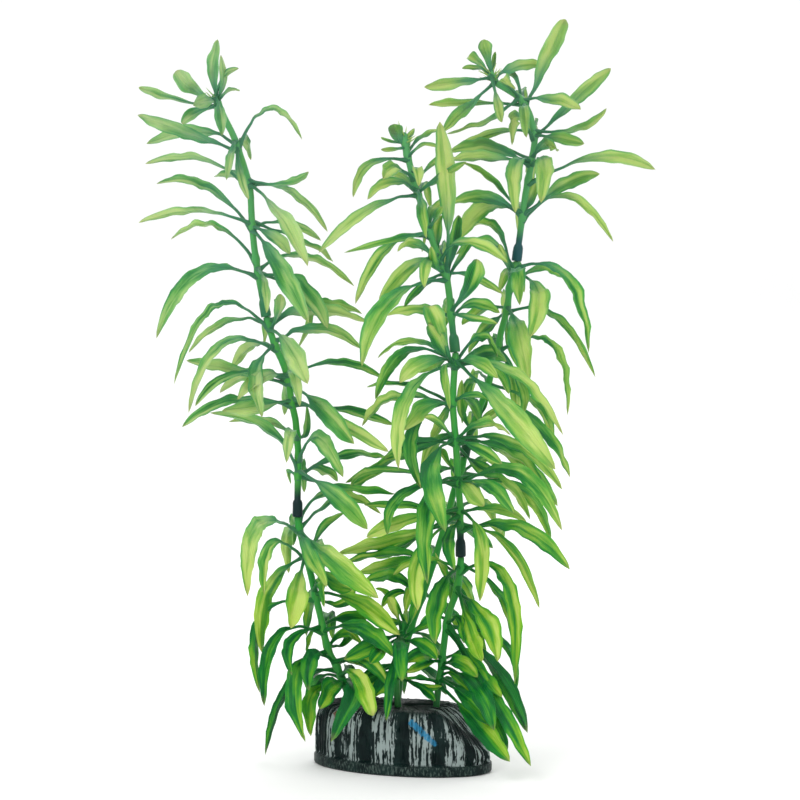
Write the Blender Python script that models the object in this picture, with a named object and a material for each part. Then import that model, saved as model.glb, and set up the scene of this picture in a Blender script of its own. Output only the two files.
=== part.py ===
"""An artificial mud plantain for an aquarium: stems of plug-together sprigs in a weighted foot.

Run it with blender --background --python part.py, or from the text editor. It works in metres,
with +Z up and the origin at the centre of the foot's flat underside. The foot is long along X.

The plant was read from the front, from a spot turned FRONT_YAW about Z. The tables below give
places as seen from there, in millimetres: across to the right, up, and away from the viewer.
"""

import math

import bmesh
import bpy
from mathutils import Matrix, Vector
from mathutils.bvhtree import BVHTree

MM = 0.001
UP = Vector((0, 0, 1))

# How the front view was read
FRONT_YAW = math.radians(20)
EYE_DISTANCE = 950
EYE_HEIGHT = 200
READ_ABOVE_FLOOR = 4
SIGHT = Matrix.Rotation(FRONT_YAW, 3, "Z") @ Vector((0, 1, 0))
LOWEST_LEAF = 2.5

# Foot, with the height and the inset from its outline of each level of its skin, in millimetres
FOOT_LENGTH = 0.0835
FOOT_DEPTH = 0.0450
FOOT_SIDES = 48
FOOT_LEVELS = ((0, 1.2), (0.8, 0), (4.2, 0), (5.6, 0.9), (17, 0.7), (24, 1.6), (27, 4.0), (28, 7.5))
PLINTH_LEVEL = 2
RIDGE_DEPTH = 1.1
RIDGES = 15
RIDGE_SWAY = 0.6
FINE_RIDGES = 29
FINE_SHARE = 0.5
END_DROP = 0.70
END_DROP_FROM = 19
END_DROP_OVER = 22
STEM_HOLE_DEPTH = 0.0150
STEM_IN_HOLE = 0.0120

# Stems: the radius at the foot and at the height of the tallest tip
STEM_RADIUS = 0.00155
TOP_STEM_RADIUS = 0.00145
TALLEST = 330
TIP_SHARE = 0.7
SOCKET_RADIUS = 0.00235
SOCKET_LENGTH = 0.0080
SOCKET_STRAIGHT = 0.6
PEG_RADIUS = 0.00085
PEG_LENGTH = 0.0060
PEG_PLAY = 0.0004
PEG_ROOT = 0.0001
CUT_BEYOND = 0.0010
HOLE_RISE = 0.0200
GAP = 0.0003

# Leaves: sizes in millimetres, and places as shares of the leaf's length
PETIOLE_WIDTH = 1.7
SHORTEST_PETIOLE = 0.10
PETIOLE_SPREAD = 0.22
WIDEST_LATE = 1.2
FULLNESS = 0.65
BLUNT_FROM = 0.76
BLUNT_OVER = 0.26
WIDENING = 1.02
LEAST_WIDTH = 3.7
WIDTH_SHARE = 0.13
RIB_DEPTH = 0.85
ROOT_SPREAD = 5.0
STATIONS = (0.0, 0.29, 0.57, 0.81)
LAST_BLUNT_STATION = 0.92
MIDDLE_AWAY = 0.55
LEAST_ROLL = 0.60
ROLL_SPREAD = 0.25
MOST_TWIST = math.radians(55)
UNTWISTED_AT = 0.3
DEPTH_SHARE = 1.6
FARTHEST = 30
END_ON_DROOP = 0.35
END_ON_LIFT = 0.1

# Steps whose multiples, less their whole parts, spread evenly from 0 to 1
GOLDEN_STEP = 0.618
SILVER_STEP = 0.414
THIRD_STEP = 0.271

# How leaves are moved clear of other sprigs
CLEARANCE = 0.35
SWING_STEP = 3
SWING_TRIES = 17

# How leaves are joined to their stem
KEPT_TRIANGLES = 0.55
THINNING_STEP = 0.01
THINNING_TRIES = 5
LONGEST_DRAW = 0.012
DRAW_ALONG = 0.85
JOIN_TRIES = 30
ROOT_STEP = 0.06
TWIST_STEP = math.radians(2.5)
SAME_PLACES = (1e-6, 1e-7)
SAME_POINT = 1e-5
SHORTEST_EDGE = 2e-5
SMALLEST_BODY = 0.5e-9
SHARP_ANGLE = math.radians(40)

GREEN = (0.10, 0.42, 0.10)
DEEP_GREEN = (0.04, 0.28, 0.12)
LIME = (0.38, 0.60, 0.12)
BARK = (0.06, 0.07, 0.07)
PLASTIC_ROUGHNESS = 0.4
BARK_ROUGHNESS = 0.6

# Leaves with a rounded end, by the place of the tip (across, up)
BLUNT_TIPS = (
    (-101.5, 317), (37, 331), (73.5, 340), (-3, 294), (-8.5, 270.5), (34, 232), (12.5, 211),
    (30, 323.5), (-13, 28.5),
)

# Each stem path runs from the top down: across, up, away.
# Each leaf ring is the height of its roots and its leaves, and each leaf is the place of its
# middle (across, up), the place of its tip (across, up), how far the tip reaches away, and its width.

LEFT_TOP_PATH = (
    (-84, 305, 0), (-80, 296, 0), (-76, 288, 0), (-73.5, 281, 0), (-70.5, 272, -1),
    (-68.3, 263, -1), (-67.8, 254, -1), (-67.3, 246, -1), (-66.3, 236, 0), (-64.8, 226, 0),
    (-63.2, 217, 1), (-61, 206, 1),
)
LEFT_TOP_LEAVES = (
    (303, (
        (-104, 304.5, -118.5, 309.5, 5, 4), (-94, 308.5, -101.5, 317, -6, 7.5),
        (-85, 317, -83, 331, 2, 5.5), (-80, 314.5, -73.5, 318, -5, 2.5),
        (-78, 308, -73, 308, -8, 1.8), (-93, 298, -99, 293, -8, 5),
        (-80.5, 312, -81.5, 324, -4, 3.5), (-88, 303, -94, 305, -14, 6),
        (-82, 299, -81, 292, -16, 5),
    )),
    (283, (
        (-97.5, 289, -119, 297, -8, 6), (-92, 289.5, -115, 284, 10, 6),
        (-60, 299.5, -45, 286, 4, 2.5), (-77, 279, -79, 272, -16, 3.5),
        (-73, 271, -69, 259, -12, 3.5), (-71, 286, -68, 284, 24, 3),
    )),
    (266, (
        (-90, 276.8, -115.5, 275, -5, 3.2), (-77, 270, -84.5, 270.5, 12, 6),
        (-50, 262.5, -33.5, 244.5, 8, 3), (-53, 266, -42, 271.5, -10, 3.8),
        (-56, 253, -42.5, 229, -14, 7.5),
    )),
    (247, (
        (-88.5, 265, -110.5, 266, 6, 4.5), (-93, 254, -118.5, 248.5, -8, 2.8),
        (-52, 248.5, -36.5, 240.5, 10, 3.2), (-44, 240, -31, 231, 18, 2.5),
        (-57.5, 242, -50.5, 234.5, -10, 6),
        (-56.5, 231, -42, 203.5, -16, 8.5),
    )),
    (232, (
        (-84, 247, -104, 241, 8, 4),
    )),
    (226, (
        (-92, 225.5, -110.5, 196.5, -8, 6), (-45, 233.5, -21.5, 220, 12, 3.5),
        (-47, 221, -33.5, 201, 4, 8),
        (-62, 221, -61, 213, -22, 3), (-43, 213, -47, 192, 18, 3),
    )),
)

LEFT_MIDDLE_PATH = (
    (-61, 206, 1), (-60, 202, 1), (-57, 193, 1), (-53.5, 185, 1), (-51, 177, 1),
    (-49.8, 168, 0), (-48, 160, 0), (-47.2, 151, 0), (-46.5, 143, 0), (-46.8, 134, 0),
    (-47, 125, 0), (-47, 116, 0),
)
LEFT_MIDDLE_LEAVES = (
    (202, (
        (-84, 211, -102.5, 176, -6, 3.2), (-79, 204, -96, 190, 8, 3),
        (-51, 193, -42.5, 176, -18, 9), (-39, 209.5, -15, 203.5, 10, 7.5),
        (-38, 211.5, -18, 207.5, 18, 5), (-55.5, 209, -55, 217, -12, 5),
        (-60, 206, -62, 201, 26, 3),
    )),
    (193, (
        (-81.5, 193.5, -96, 163, -6, 4.2), (-66, 181, -63, 161, -22, 7.5),
        (-68, 193, -76.5, 182, 14, 5), (-37, 201, -18, 191.5, 8, 5.5),
        (-52, 190, -48, 182, 25, 5),
    )),
    (178, (
        (-75, 182, -97, 186.5, 10, 5.5), (-77, 180, -93, 166, -8, 3.5),
        (-68, 181, -82, 172, 16, 5), (-62, 179, -74, 169, -16, 6),
        (-30, 186, -8, 178, 12, 3.5), (-37, 166, -21.5, 149, -14, 8.5),
        (-49, 181, -46, 172, -24, 5),
    )),
    (168, (
        (-76, 168.5, -99, 156.5, -6, 5), (-63, 166.5, -81, 164, -12, 7), (-25, 164, -4, 157.5, 8, 4.5),
        (-27, 158, -6, 145.5, -10, 5.5), (-51, 174, -53, 168, 26, 5),
    )),
    (152, (
        (-58, 158, -78, 159, 10, 4.5),
        (-43, 154, -43, 167, 4, 3), (-50, 154, -52, 147, -24, 5),
    )),
    (143, (
        (-38, 152, -26.5, 134, -12, 7.5),
    )),
    (135, (
        (-58, 153.5, -86.5, 163, -6, 5.5), (-37, 138, -29, 132, 8, 5), (-27, 143.5, -5.5, 142, 10, 5),
        (-31, 126.5, -15.5, 110.5, -14, 8.5), (-27, 129, -3, 126.5, 6, 4.5),
        (-51, 137, -50, 131, 4, 2), (-46, 140, -44, 134, 26, 5),
    )),
)

LEFT_BASE_PATH = (
    (-47, 116, 0), (-46.5, 112, 0), (-44.5, 104, 0), (-42.5, 96, 0), (-40.5, 88, 0),
    (-38.8, 80, 0), (-36.8, 72, 0), (-35.2, 64, 0), (-33, 56, 0), (-29, 48, 0), (-25, 38, 0),
)
LEFT_BASE_LEAVES = (
    (111, (
        (-65, 112, -69.5, 80.5, -8, 7.5), (-51.5, 108, -51, 92, 16, 5),
        (-33, 98, -10.5, 79.5, -18, 9.5), (-33, 127, -9.5, 117.5, 10, 5),
        (-28, 126, -6, 138, 16, 2.5), (-42, 100, -34, 86, -26, 7),
        (-48, 116, -49, 110, 26, 5),
    )),
    (98, (
        (-58, 104, -62, 81, -10, 5.5), (-60, 83, -63, 55, 6, 7.5),
        (-36, 110, -26, 118, 8, 3), (-47, 84, -50, 66, -24, 9),
        (-38, 104, -35, 98, 24, 5), (-31, 87, -22.5, 83.5, -10, 6.5),
    )),
    (81, (
        (-63, 71, -64, 37, 12, 5), (-20, 78, -1, 63, -14, 8.5),
        (-27, 77, -21, 85, 10, 4), (-37, 87, -35, 82, -18, 4),
        (-41, 80, -43, 68, 24, 5),
    )),
    (66, (
        (-56, 62, -62, 31, -6, 5.5), (-50, 60, -49.5, 45, -14, 5),
        (-19, 66, -3.5, 53, -16, 8), (-26, 71, -16, 70, 8, 6),
        (-40, 64, -43, 58, 12, 2.5), (-33, 72, -31, 66, 26, 5),
    )),
    (58, (
        (-48, 45, -43.5, 15, -12, 8), (-25, 60, -20, 73, 12, 4), (-26, 64, -18, 58.5, 6, 4.5),
    )),
    (49, (
        (-50, 41, -61.5, 7, 8, 4.5), (-40, 54, -42, 38, -10, 7.5),
        (-40, 45, -40.5, 36, 12, 6), (-17, 52, -6, 40, -14, 6),
        (-23, 51.5, -15.5, 47.5, 8, 5),
    )),
    (43, (
        (-40, 37, -41, 17.5, -10, 6.5), (-38, 42, -42, 24, 10, 6),
        (-21, 40, -32, 15, -27, 9), (-20, 44, -13, 28.5, -27, 8),
        (-24, 48, -22, 40, 22, 5), (-31.5, 40, -37, 30.5, -12, 9),
    )),
)

FRONT_TOP_PATH = (
    (1, 288, -4), (2, 281, -4), (4.2, 272, -5), (6, 265, -5), (8, 259, -6), (10.3, 250, -6),
    (12.8, 243, -7), (15.2, 236, -7), (17.6, 230, -8), (20, 224, -8), (21.4, 215, -9),
    (22.3, 205, -9), (24, 190, -10),
)
FRONT_TOP_LEAVES = (
    (284, (
        (-2.5, 288.5, -3.5, 293, -2, 7), (-5, 285, -9.5, 287, 3, 2),
        (-4, 281.5, -9.5, 281.5, -5, 2), (3, 287, 5.5, 291, 4, 2.5),
    )),
    (279, (
        (-15, 274.5, -22, 260, -6, 3.8), (9, 287, 20, 291, 8, 2.5),
        (9, 283, 19, 282, -6, 2.5), (2, 287, 2, 282, 22, 4),
    )),
    (270, (
        (-3, 273, -8.5, 270.5, -14, 6.5), (6.5, 273, 7.5, 267.5, -10, 4.5),
    )),
    (262, (
        (1, 268, -4.5, 270, 6, 4.5), (-4, 267, -15.5, 259, -12, 5),
        (-15, 254.5, -37.5, 235, -6, 4.8), (14, 275, 27, 277, 8, 3),
        (17, 269, 29, 276, -8, 3), (10, 266, 13, 260, 24, 3),
        (9, 256, 11, 246, -20, 5),
    )),
    (244, (
        (-6, 238, -21, 212, 6, 4.8), (0, 241.5, -26, 235, -8, 3.5),
        (14, 254, 24, 260.5, 8, 5), (15.5, 251, 18, 256, -8, 3),
        (12, 247, 9, 243, 22, 3),
    )),
    (232, (
        (6, 239, -2, 235.5, -8, 5.5), (4, 229, -10.5, 213, 8, 6.8),
        (28, 240, 47.5, 230.5, -8, 5.5), (11, 230, 10, 224, -16, 5), (15.5, 243, 18, 252, 6, 4.5),
        (18, 238, 20, 234, 22, 5),
    )),
    (225, (
        (-4, 214, -18, 184, -12, 9), (9, 220, 1, 210.5, 8, 3.5), (23.5, 239, 25.5, 252, 8, 5),
        (15, 229, 13, 238, -8, 4.5),
        (20.5, 256, 17, 294, -6, 8.8), (27, 234, 32, 241, 6, 3),
        (32, 224, 45.5, 216.5, 8, 3.5),
    )),
    (207, (
        (31, 212, 44, 208, 6, 5), (31, 206, 43, 203, -6, 3.5),
        (9, 209.5, -8, 206.5, 10, 5.5), (29.8, 219, 34, 232, -10, 8),
        (21, 212, 19, 208, 22, 5),
    )),
)

FRONT_MIDDLE_PATH = (
    (24, 190, -10), (23.8, 185, -10), (23.2, 176, -10), (22.9, 167, -10), (23.5, 158, -10),
    (24.2, 150, -10), (24.8, 140, -10), (25.3, 131, -10), (26, 122, -10), (26.2, 112, -10),
    (26.5, 98, -10),
)
FRONT_MIDDLE_LEAVES = (
    (185, (
        (17, 199, 12.5, 211, -16, 9), (2, 190.5, -12, 169, 6, 5.5),
        (6, 195.5, -11, 187.5, 14, 2.5), (9, 185.5, -1, 176.5, -8, 7),
        (3, 171, -1.5, 137.5, -16, 7), (19, 182, 21.5, 168, -18, 3.5),
        (34, 186, 43, 178.5, -8, 6), (17, 194, 12, 203, -12, 7), (15, 186, 6, 181.5, 10, 6.5),
        (39, 183.5, 48, 171.5, 8, 6),
        (50, 181, 72.5, 153, -4, 5.5), (46, 165, 69, 137.5, -14, 10),
        (35, 197, 43, 188, 6, 4.5), (37, 190, 47, 186, 14, 7),
    )),
    (168, (
        (-2, 170.5, -18, 157, 6, 5), (5, 155, 8.5, 129, -10, 6),
        (3, 175.5, -16, 174.5, 14, 3), (18, 160, 13, 150, 10, 4.5),
        (31, 171, 40, 168, -6, 3.5),
        (11, 166, 1, 155, -8, 7.5), (31, 168, 35, 159, 10, 5),
    )),
    (151, (
        (6, 149.5, -8, 142, 8, 5.5), (13, 137, 19.5, 109.5, -18, 9.5),
        (17, 158, 10, 161, -6, 3.5), (-2, 143, -25.5, 131.5, 12, 4.5),
        (50, 149.5, 72, 128.5, -6, 5.5), (46, 146.5, 63, 131.5, 8, 8),
        (50, 143, 70, 121, 14, 7),
        (37, 158.5, 49, 153, -10, 5.5), (15, 149.5, 8.5, 135, 12, 5), (34, 147, 45, 140, -12, 5),
        (33.5, 139.5, 42, 137, 10, 5.5),
    )),
    (132, (
        (51.5, 136.5, 72, 110, -8, 6.8), (44, 133, 57.5, 115, 6, 5.5),
        (53, 129, 67, 105, 10, 5), (20, 142, 15.5, 146.5, 6, 3.5),
        (0, 126, -6.5, 108, -10, 5), (-8, 137.5, -23, 130, 8, 3.5),
        (13, 124, 11.5, 86, -20, 8.5), (39, 130, 50.5, 117.5, -16, 6.5),
        (30.5, 128.5, 37, 121, -8, 8),
    )),
    (119, (
        (4, 121, -17, 121.5, 6, 3.5), (3, 115, -16, 107, -8, 6.5),
        (42, 120, 56, 114, 8, 4.5), (36, 122, 42, 116, 16, 5),
        (35.5, 106, 35, 78, -14, 7), (9, 100, 7, 74, -20, 7.5),
    )),
    (112, (
        (52, 111.5, 75.5, 92.5, -4, 7), (48, 103, 61.8, 75, 8, 4.4),
        (42, 112, 45, 105, 14, 4),
        (21, 106, 23.5, 95, -18, 5.5),
    )),
)

FRONT_BASE_PATH = (
    (26.5, 98, -10), (26.3, 94, -10), (25.5, 88, -9), (24, 81, -9), (21.5, 74, -8),
    (20, 67, -8), (18.8, 58, -7), (17.9, 50, -7), (16.8, 43, -6), (16, 36, -6),
)
FRONT_BASE_LEAVES = (
    (93, (
        (46.3, 88.3, 50.7, 41, -6, 6), (17.5, 83, 15, 59, -16, 8.5),
        (12, 97, -4, 90, 10, 5), (44, 81, 50, 58, 10, 4),
    )),
    (85, (
        (36.5, 71, 43, 51, -14, 9),
        (30, 66, 36, 51, -20, 7), (19, 91, 15, 100, 8, 2.5), (29.5, 76, 38, 55, 8, 4.5),
        (23, 90, 22, 84, 22, 5),
    )),
    (68, (
        (40.5, 49.5, 56.5, 19, 6, 7.5), (41, 35.5, 58, 4, -22, 6.5),
        (46, 59, 51, 37, 14, 3.5), (14, 71, 8, 66, 8, 4),
        (26, 70, 28, 62, -14, 4), (34, 48, 45, 35, -12, 6),
    )),
    (51, (
        (33, 40, 41.5, 20, -18, 8), (27, 55, 38, 52, 8, 4),
        (26, 50.5, 34, 44, -10, 6.5), (9.5, 53.5, 2.5, 50.5, -8, 7.5),
        (10, 50, 2, 46, -8, 4),
    )),
    (43, (
        (31.5, 26, 48.5, 6, -24, 8.5), (37, 31, 47.5, 11, -14, 5),
        (9, 43, 1, 44, -10, 2.5), (24, 45, 31, 37.5, -6, 4), (28, 35.5, 40, 22, -16, 7),
        (22, 43, 28, 39, 12, 3),
    )),
)

REAR_TOP_PATH = (
    (39.5, 316, 22), (42.5, 311.5, 22), (48, 308, 22), (53.5, 304, 22), (57.5, 297, 22),
    (59.6, 287, 22), (58.6, 278, 22), (57, 269, 22), (55.3, 260, 22), (54, 250, 22),
    (52.8, 241, 22), (51.5, 231, 22),
)
REAR_TOP_LEAVES = (
    (314, (
        (38, 324, 37, 331, 0, 6.5), (41, 320, 42, 325.5, 4, 2),
        (34, 321, 30, 323.5, 6, 5), (33, 318.5, 27, 318, -6, 2.5),
        (25, 311.5, 10, 309.5, -4, 5.5), (29, 300, 18.5, 289.5, -10, 5.5),
        (43, 303, 45, 294, -14, 4.5), (52, 318.8, 64, 319, 6, 6.5),
    )),
    (303, (
        (64, 319.5, 73.5, 340, 4, 8), (67, 304, 80.5, 299.5, -6, 7.8),
        (33, 302.3, 12, 301.5, 8, 4.2), (38, 294.5, 20, 288.5, -8, 3.5),
        (50, 315, 43.5, 316, 8, 3.5), (55, 299, 56, 293, -16, 5), (46, 313, 51, 308.5, -8, 5),
        (54, 308, 55, 303, 22, 5),
    )),
    (288, (
        (51, 296.5, 49.5, 283.5, -10, 5.5), (44, 289.5, 24, 282, 10, 3.5),
        (79, 305, 94, 318, 6, 6.5), (79, 290.8, 92, 300, -4, 3.8),
        (70, 286.5, 82, 284, -10, 6), (60, 293, 60, 287, 24, 5),
    )),
    (276, (
        (40, 282.5, 21.5, 280.5, 6, 7), (44, 281, 32, 277, 14, 4.5), (40, 278, 22, 276.5, -6, 6),
        (65, 284, 70, 281, -10, 6),
        (51, 274, 51, 253, -12, 7.5), (63.8, 276, 62.5, 257.5, -14, 8),
    )),
    (268, (
        (88, 278, 114, 272.5, -4, 5.8), (58, 274, 58, 267, 24, 5),
    )),
    (251, (
        (71, 264.5, 89, 270.5, 8, 6.5), (75.5, 259.5, 95, 240, -6, 4.5),
        (43, 265, 27.5, 275.5, 10, 4), (37.5, 259.8, 21, 256.8, -4, 7),
        (39, 256, 24.5, 240, 4, 8.5), (53, 257, 52, 250, 24, 5), (58.5, 261, 61, 269, 6, 5),
    )),
)

REAR_MIDDLE_PATH = (
    (51.5, 231, 22), (50.3, 227, 22), (48.5, 220, 22), (47.3, 210, 21), (44.5, 199, 21),
    (42.5, 190, 20), (38.5, 175, 20), (33, 160, 19), (30, 152, 18), (28, 143, 17),
)
REAR_MIDDLE_LEAVES = (
    (226, (
        (41.5, 246.5, 27, 243.5, 8, 5.5), (40, 239.5, 24, 234, -8, 5),
        (46, 233, 43.5, 239, -10, 3.5), (73.5, 224.5, 84, 190, -6, 6),
        (61.3, 217.5, 57.7, 197, -16, 9.2), (52, 226, 53, 218, -20, 7),
        (47, 226, 44, 221, 12, 4), (52, 229, 55, 224, 24, 4),
    )),
    (219, (
        (62, 228, 78, 219, 10, 4.5),
    )),
    (210, (
        (69, 206.5, 87, 179, 4, 3.6), (52.5, 199, 57, 177, -18, 10), (48.5, 198, 53.5, 182, 12, 5.5),
        (47, 216, 46, 209, 24, 5), (37, 209.5, 27, 202.5, 10, 6.5), (40, 203, 33, 198.5, 14, 5.5),
    )),
    (192, (
        (66.5, 194.5, 74.5, 162, -4, 4.8), (50, 178, 51.5, 153, 8, 4.5),
        (54, 175, 54.5, 163, -10, 4.5), (36, 198, 30, 190, 12, 4),
        (43, 197, 43, 189, 24, 5),
    )),
    (175, (
        (62, 156.5, 75.5, 134, -8, 5.8), (60, 167, 68, 150, 8, 4.5),
        (30, 176, 27, 158, 10, 4.5), (33, 180, 30, 172, 22, 4),
    )),
    (156, (
        (40, 162, 46.5, 163, -6, 5), (27, 163, 27, 178, 8, 4),
        (36, 165, 37, 172, 6, 3.5), (32, 162, 33, 154, 24, 5),
    )),
)

REAR_BASE_PATH = (
    (28, 143, 17), (26.8, 138, 17), (24, 130, 16), (20, 115, 15), (15, 98, 14), (9, 80, 12),
    (4, 66, 10), (0, 50, 9), (-1.5, 37, 8),
)
REAR_BASE_LEAVES = (
    (137, (
        (38, 143, 44, 134, 10, 5), (16, 137, 8, 131, 10, 4),
        (47, 131, 61, 118, 16, 5), (25, 142, 24, 134, 24, 5),
    )),
    (115, (
        (-3, 106.3, -29, 99.5, 4, 6.5), (0, 103.5, -13, 98.5, 14, 6.5),
        (30, 111, 41, 102, 14, 5), (22, 121, 23, 113, 24, 5),
    )),
    (98, (
        (-4, 100, -28, 94.5, 6, 5.5), (0, 95.3, -19.5, 91, 14, 6.5),
        (27, 88, 32, 76, 14, 5), (12, 102, 10, 95, 24, 5),
    )),
    (80, (
        (-3, 89, -18, 85.5, 8, 6.5), (3.5, 83, 1.5, 73, -10, 4.5), (-2, 82, -9, 75.5, -4, 4),
        (21, 74, 28, 62, 14, 5), (8, 86, 7, 78, 24, 5),
    )),
    (66, (
        (-4, 78, -12, 84, 6, 3), (-6, 69, -12, 68.5, -6, 5),
        (14, 60, 19, 50, 16, 5), (3, 72, 2, 64, 24, 5),
    )),
    (48, (
        (11, 47, 20, 36, 14, 5), (-11, 47, -19, 34, 14, 5), (0, 53, 1, 40, 24, 5),
    )),
)

SHORT_SPRIG_PATH = (
    (1, 68, -7), (-1, 60, -7), (-2.3, 50, -6), (-2.6, 42, -6), (-2, 34, -6),
)
SHORT_SPRIG_LEAVES = (
    (63, (
        (9, 59, 16, 52, -10, 6), (-12, 59, -26, 52, -6, 7.5), (-9, 56.5, -14.5, 52, -14, 6),
        (-4.5, 44, -7, 24.5, -20, 4.5), (-1, 57, 0, 47, -24, 7),
        (6, 76, 8, 92, -6, 5), (-3, 74, -6, 80, -6, 4),
        (11, 68, 15, 76, -4, 5),
    )),
    (46, (
        (-12, 46, -20, 38, -10, 5.5), (8, 40, 18, 40, -8, 3),
        (9, 39, 15, 34, -14, 3), (-12, 43, -22, 35, -4, 5), (-8, 41, -13, 35, -10, 6.5),
    )),
)

# Name, path, leaf rings, whether a sprig plugs in on top, and whether the lower end is a socket
SPRIGS = (
    ("left_stem_base", LEFT_BASE_PATH, LEFT_BASE_LEAVES, LEFT_MIDDLE_PATH, False),
    ("left_stem_middle", LEFT_MIDDLE_PATH, LEFT_MIDDLE_LEAVES, LEFT_TOP_PATH, True),
    ("left_stem_top", LEFT_TOP_PATH, LEFT_TOP_LEAVES, None, True),
    ("front_stem_base", FRONT_BASE_PATH, FRONT_BASE_LEAVES, FRONT_MIDDLE_PATH, False),
    ("front_stem_middle", FRONT_MIDDLE_PATH, FRONT_MIDDLE_LEAVES, FRONT_TOP_PATH, True),
    ("front_stem_top", FRONT_TOP_PATH, FRONT_TOP_LEAVES, None, True),
    ("rear_stem_base", REAR_BASE_PATH, REAR_BASE_LEAVES, REAR_MIDDLE_PATH, False),
    ("rear_stem_middle", REAR_MIDDLE_PATH, REAR_MIDDLE_LEAVES, REAR_TOP_PATH, True),
    ("rear_stem_top", REAR_TOP_PATH, REAR_TOP_LEAVES, None, True),
    ("short_sprig", SHORT_SPRIG_PATH, SHORT_SPRIG_LEAVES, None, False),
)


def clear_scene():
    for obj in list(bpy.data.objects):
        bpy.data.objects.remove(obj)


def new_collection(name, is_helper=False):
    collection = bpy.data.collections.new(name)
    bpy.context.scene.collection.children.link(collection)
    collection.hide_render = is_helper
    return collection


def new_object(name, mesh, collection):
    obj = bpy.data.objects.new(name, mesh)
    collection.objects.link(obj)
    return obj


def new_material(name, colour, roughness):
    material = bpy.data.materials.new(name)
    material.use_nodes = True
    shader = material.node_tree.nodes["Principled BSDF"]
    shader.inputs["Base Color"].default_value = (*colour, 1)
    shader.inputs["Roughness"].default_value = roughness
    return material


def seen(across, up, away):
    """The world place of a point read from the front view, in metres."""
    spread = 1 + away / EYE_DISTANCE
    height = EYE_HEIGHT + (up - READ_ABOVE_FLOOR - EYE_HEIGHT) * spread
    place = Vector((across * spread, away, max(height, LOWEST_LEAF))) * MM
    place.rotate(Matrix.Rotation(FRONT_YAW, 3, "Z"))
    return place


def path_at(path, up):
    """The point of a stem path at this height, as across, up and away."""
    for (xa, ua, ya), (xb, ub, yb) in zip(path, path[1:]):
        if ub <= up <= ua:
            part = (ua - up) / (ua - ub)
            return xa + (xb - xa) * part, up, ya + (yb - ya) * part
    return path[0] if up > path[0][1] else path[-1]


def scatter(index, step):
    """An even spread of values from 0 to 1 over the leaves."""
    return (index * step) % 1.0


def smooth(value):
    """Rises smoothly from 0 to 1 as the value does."""
    value = max(0.0, min(1.0, value))
    return value * value * (3 - 2 * value)


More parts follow.
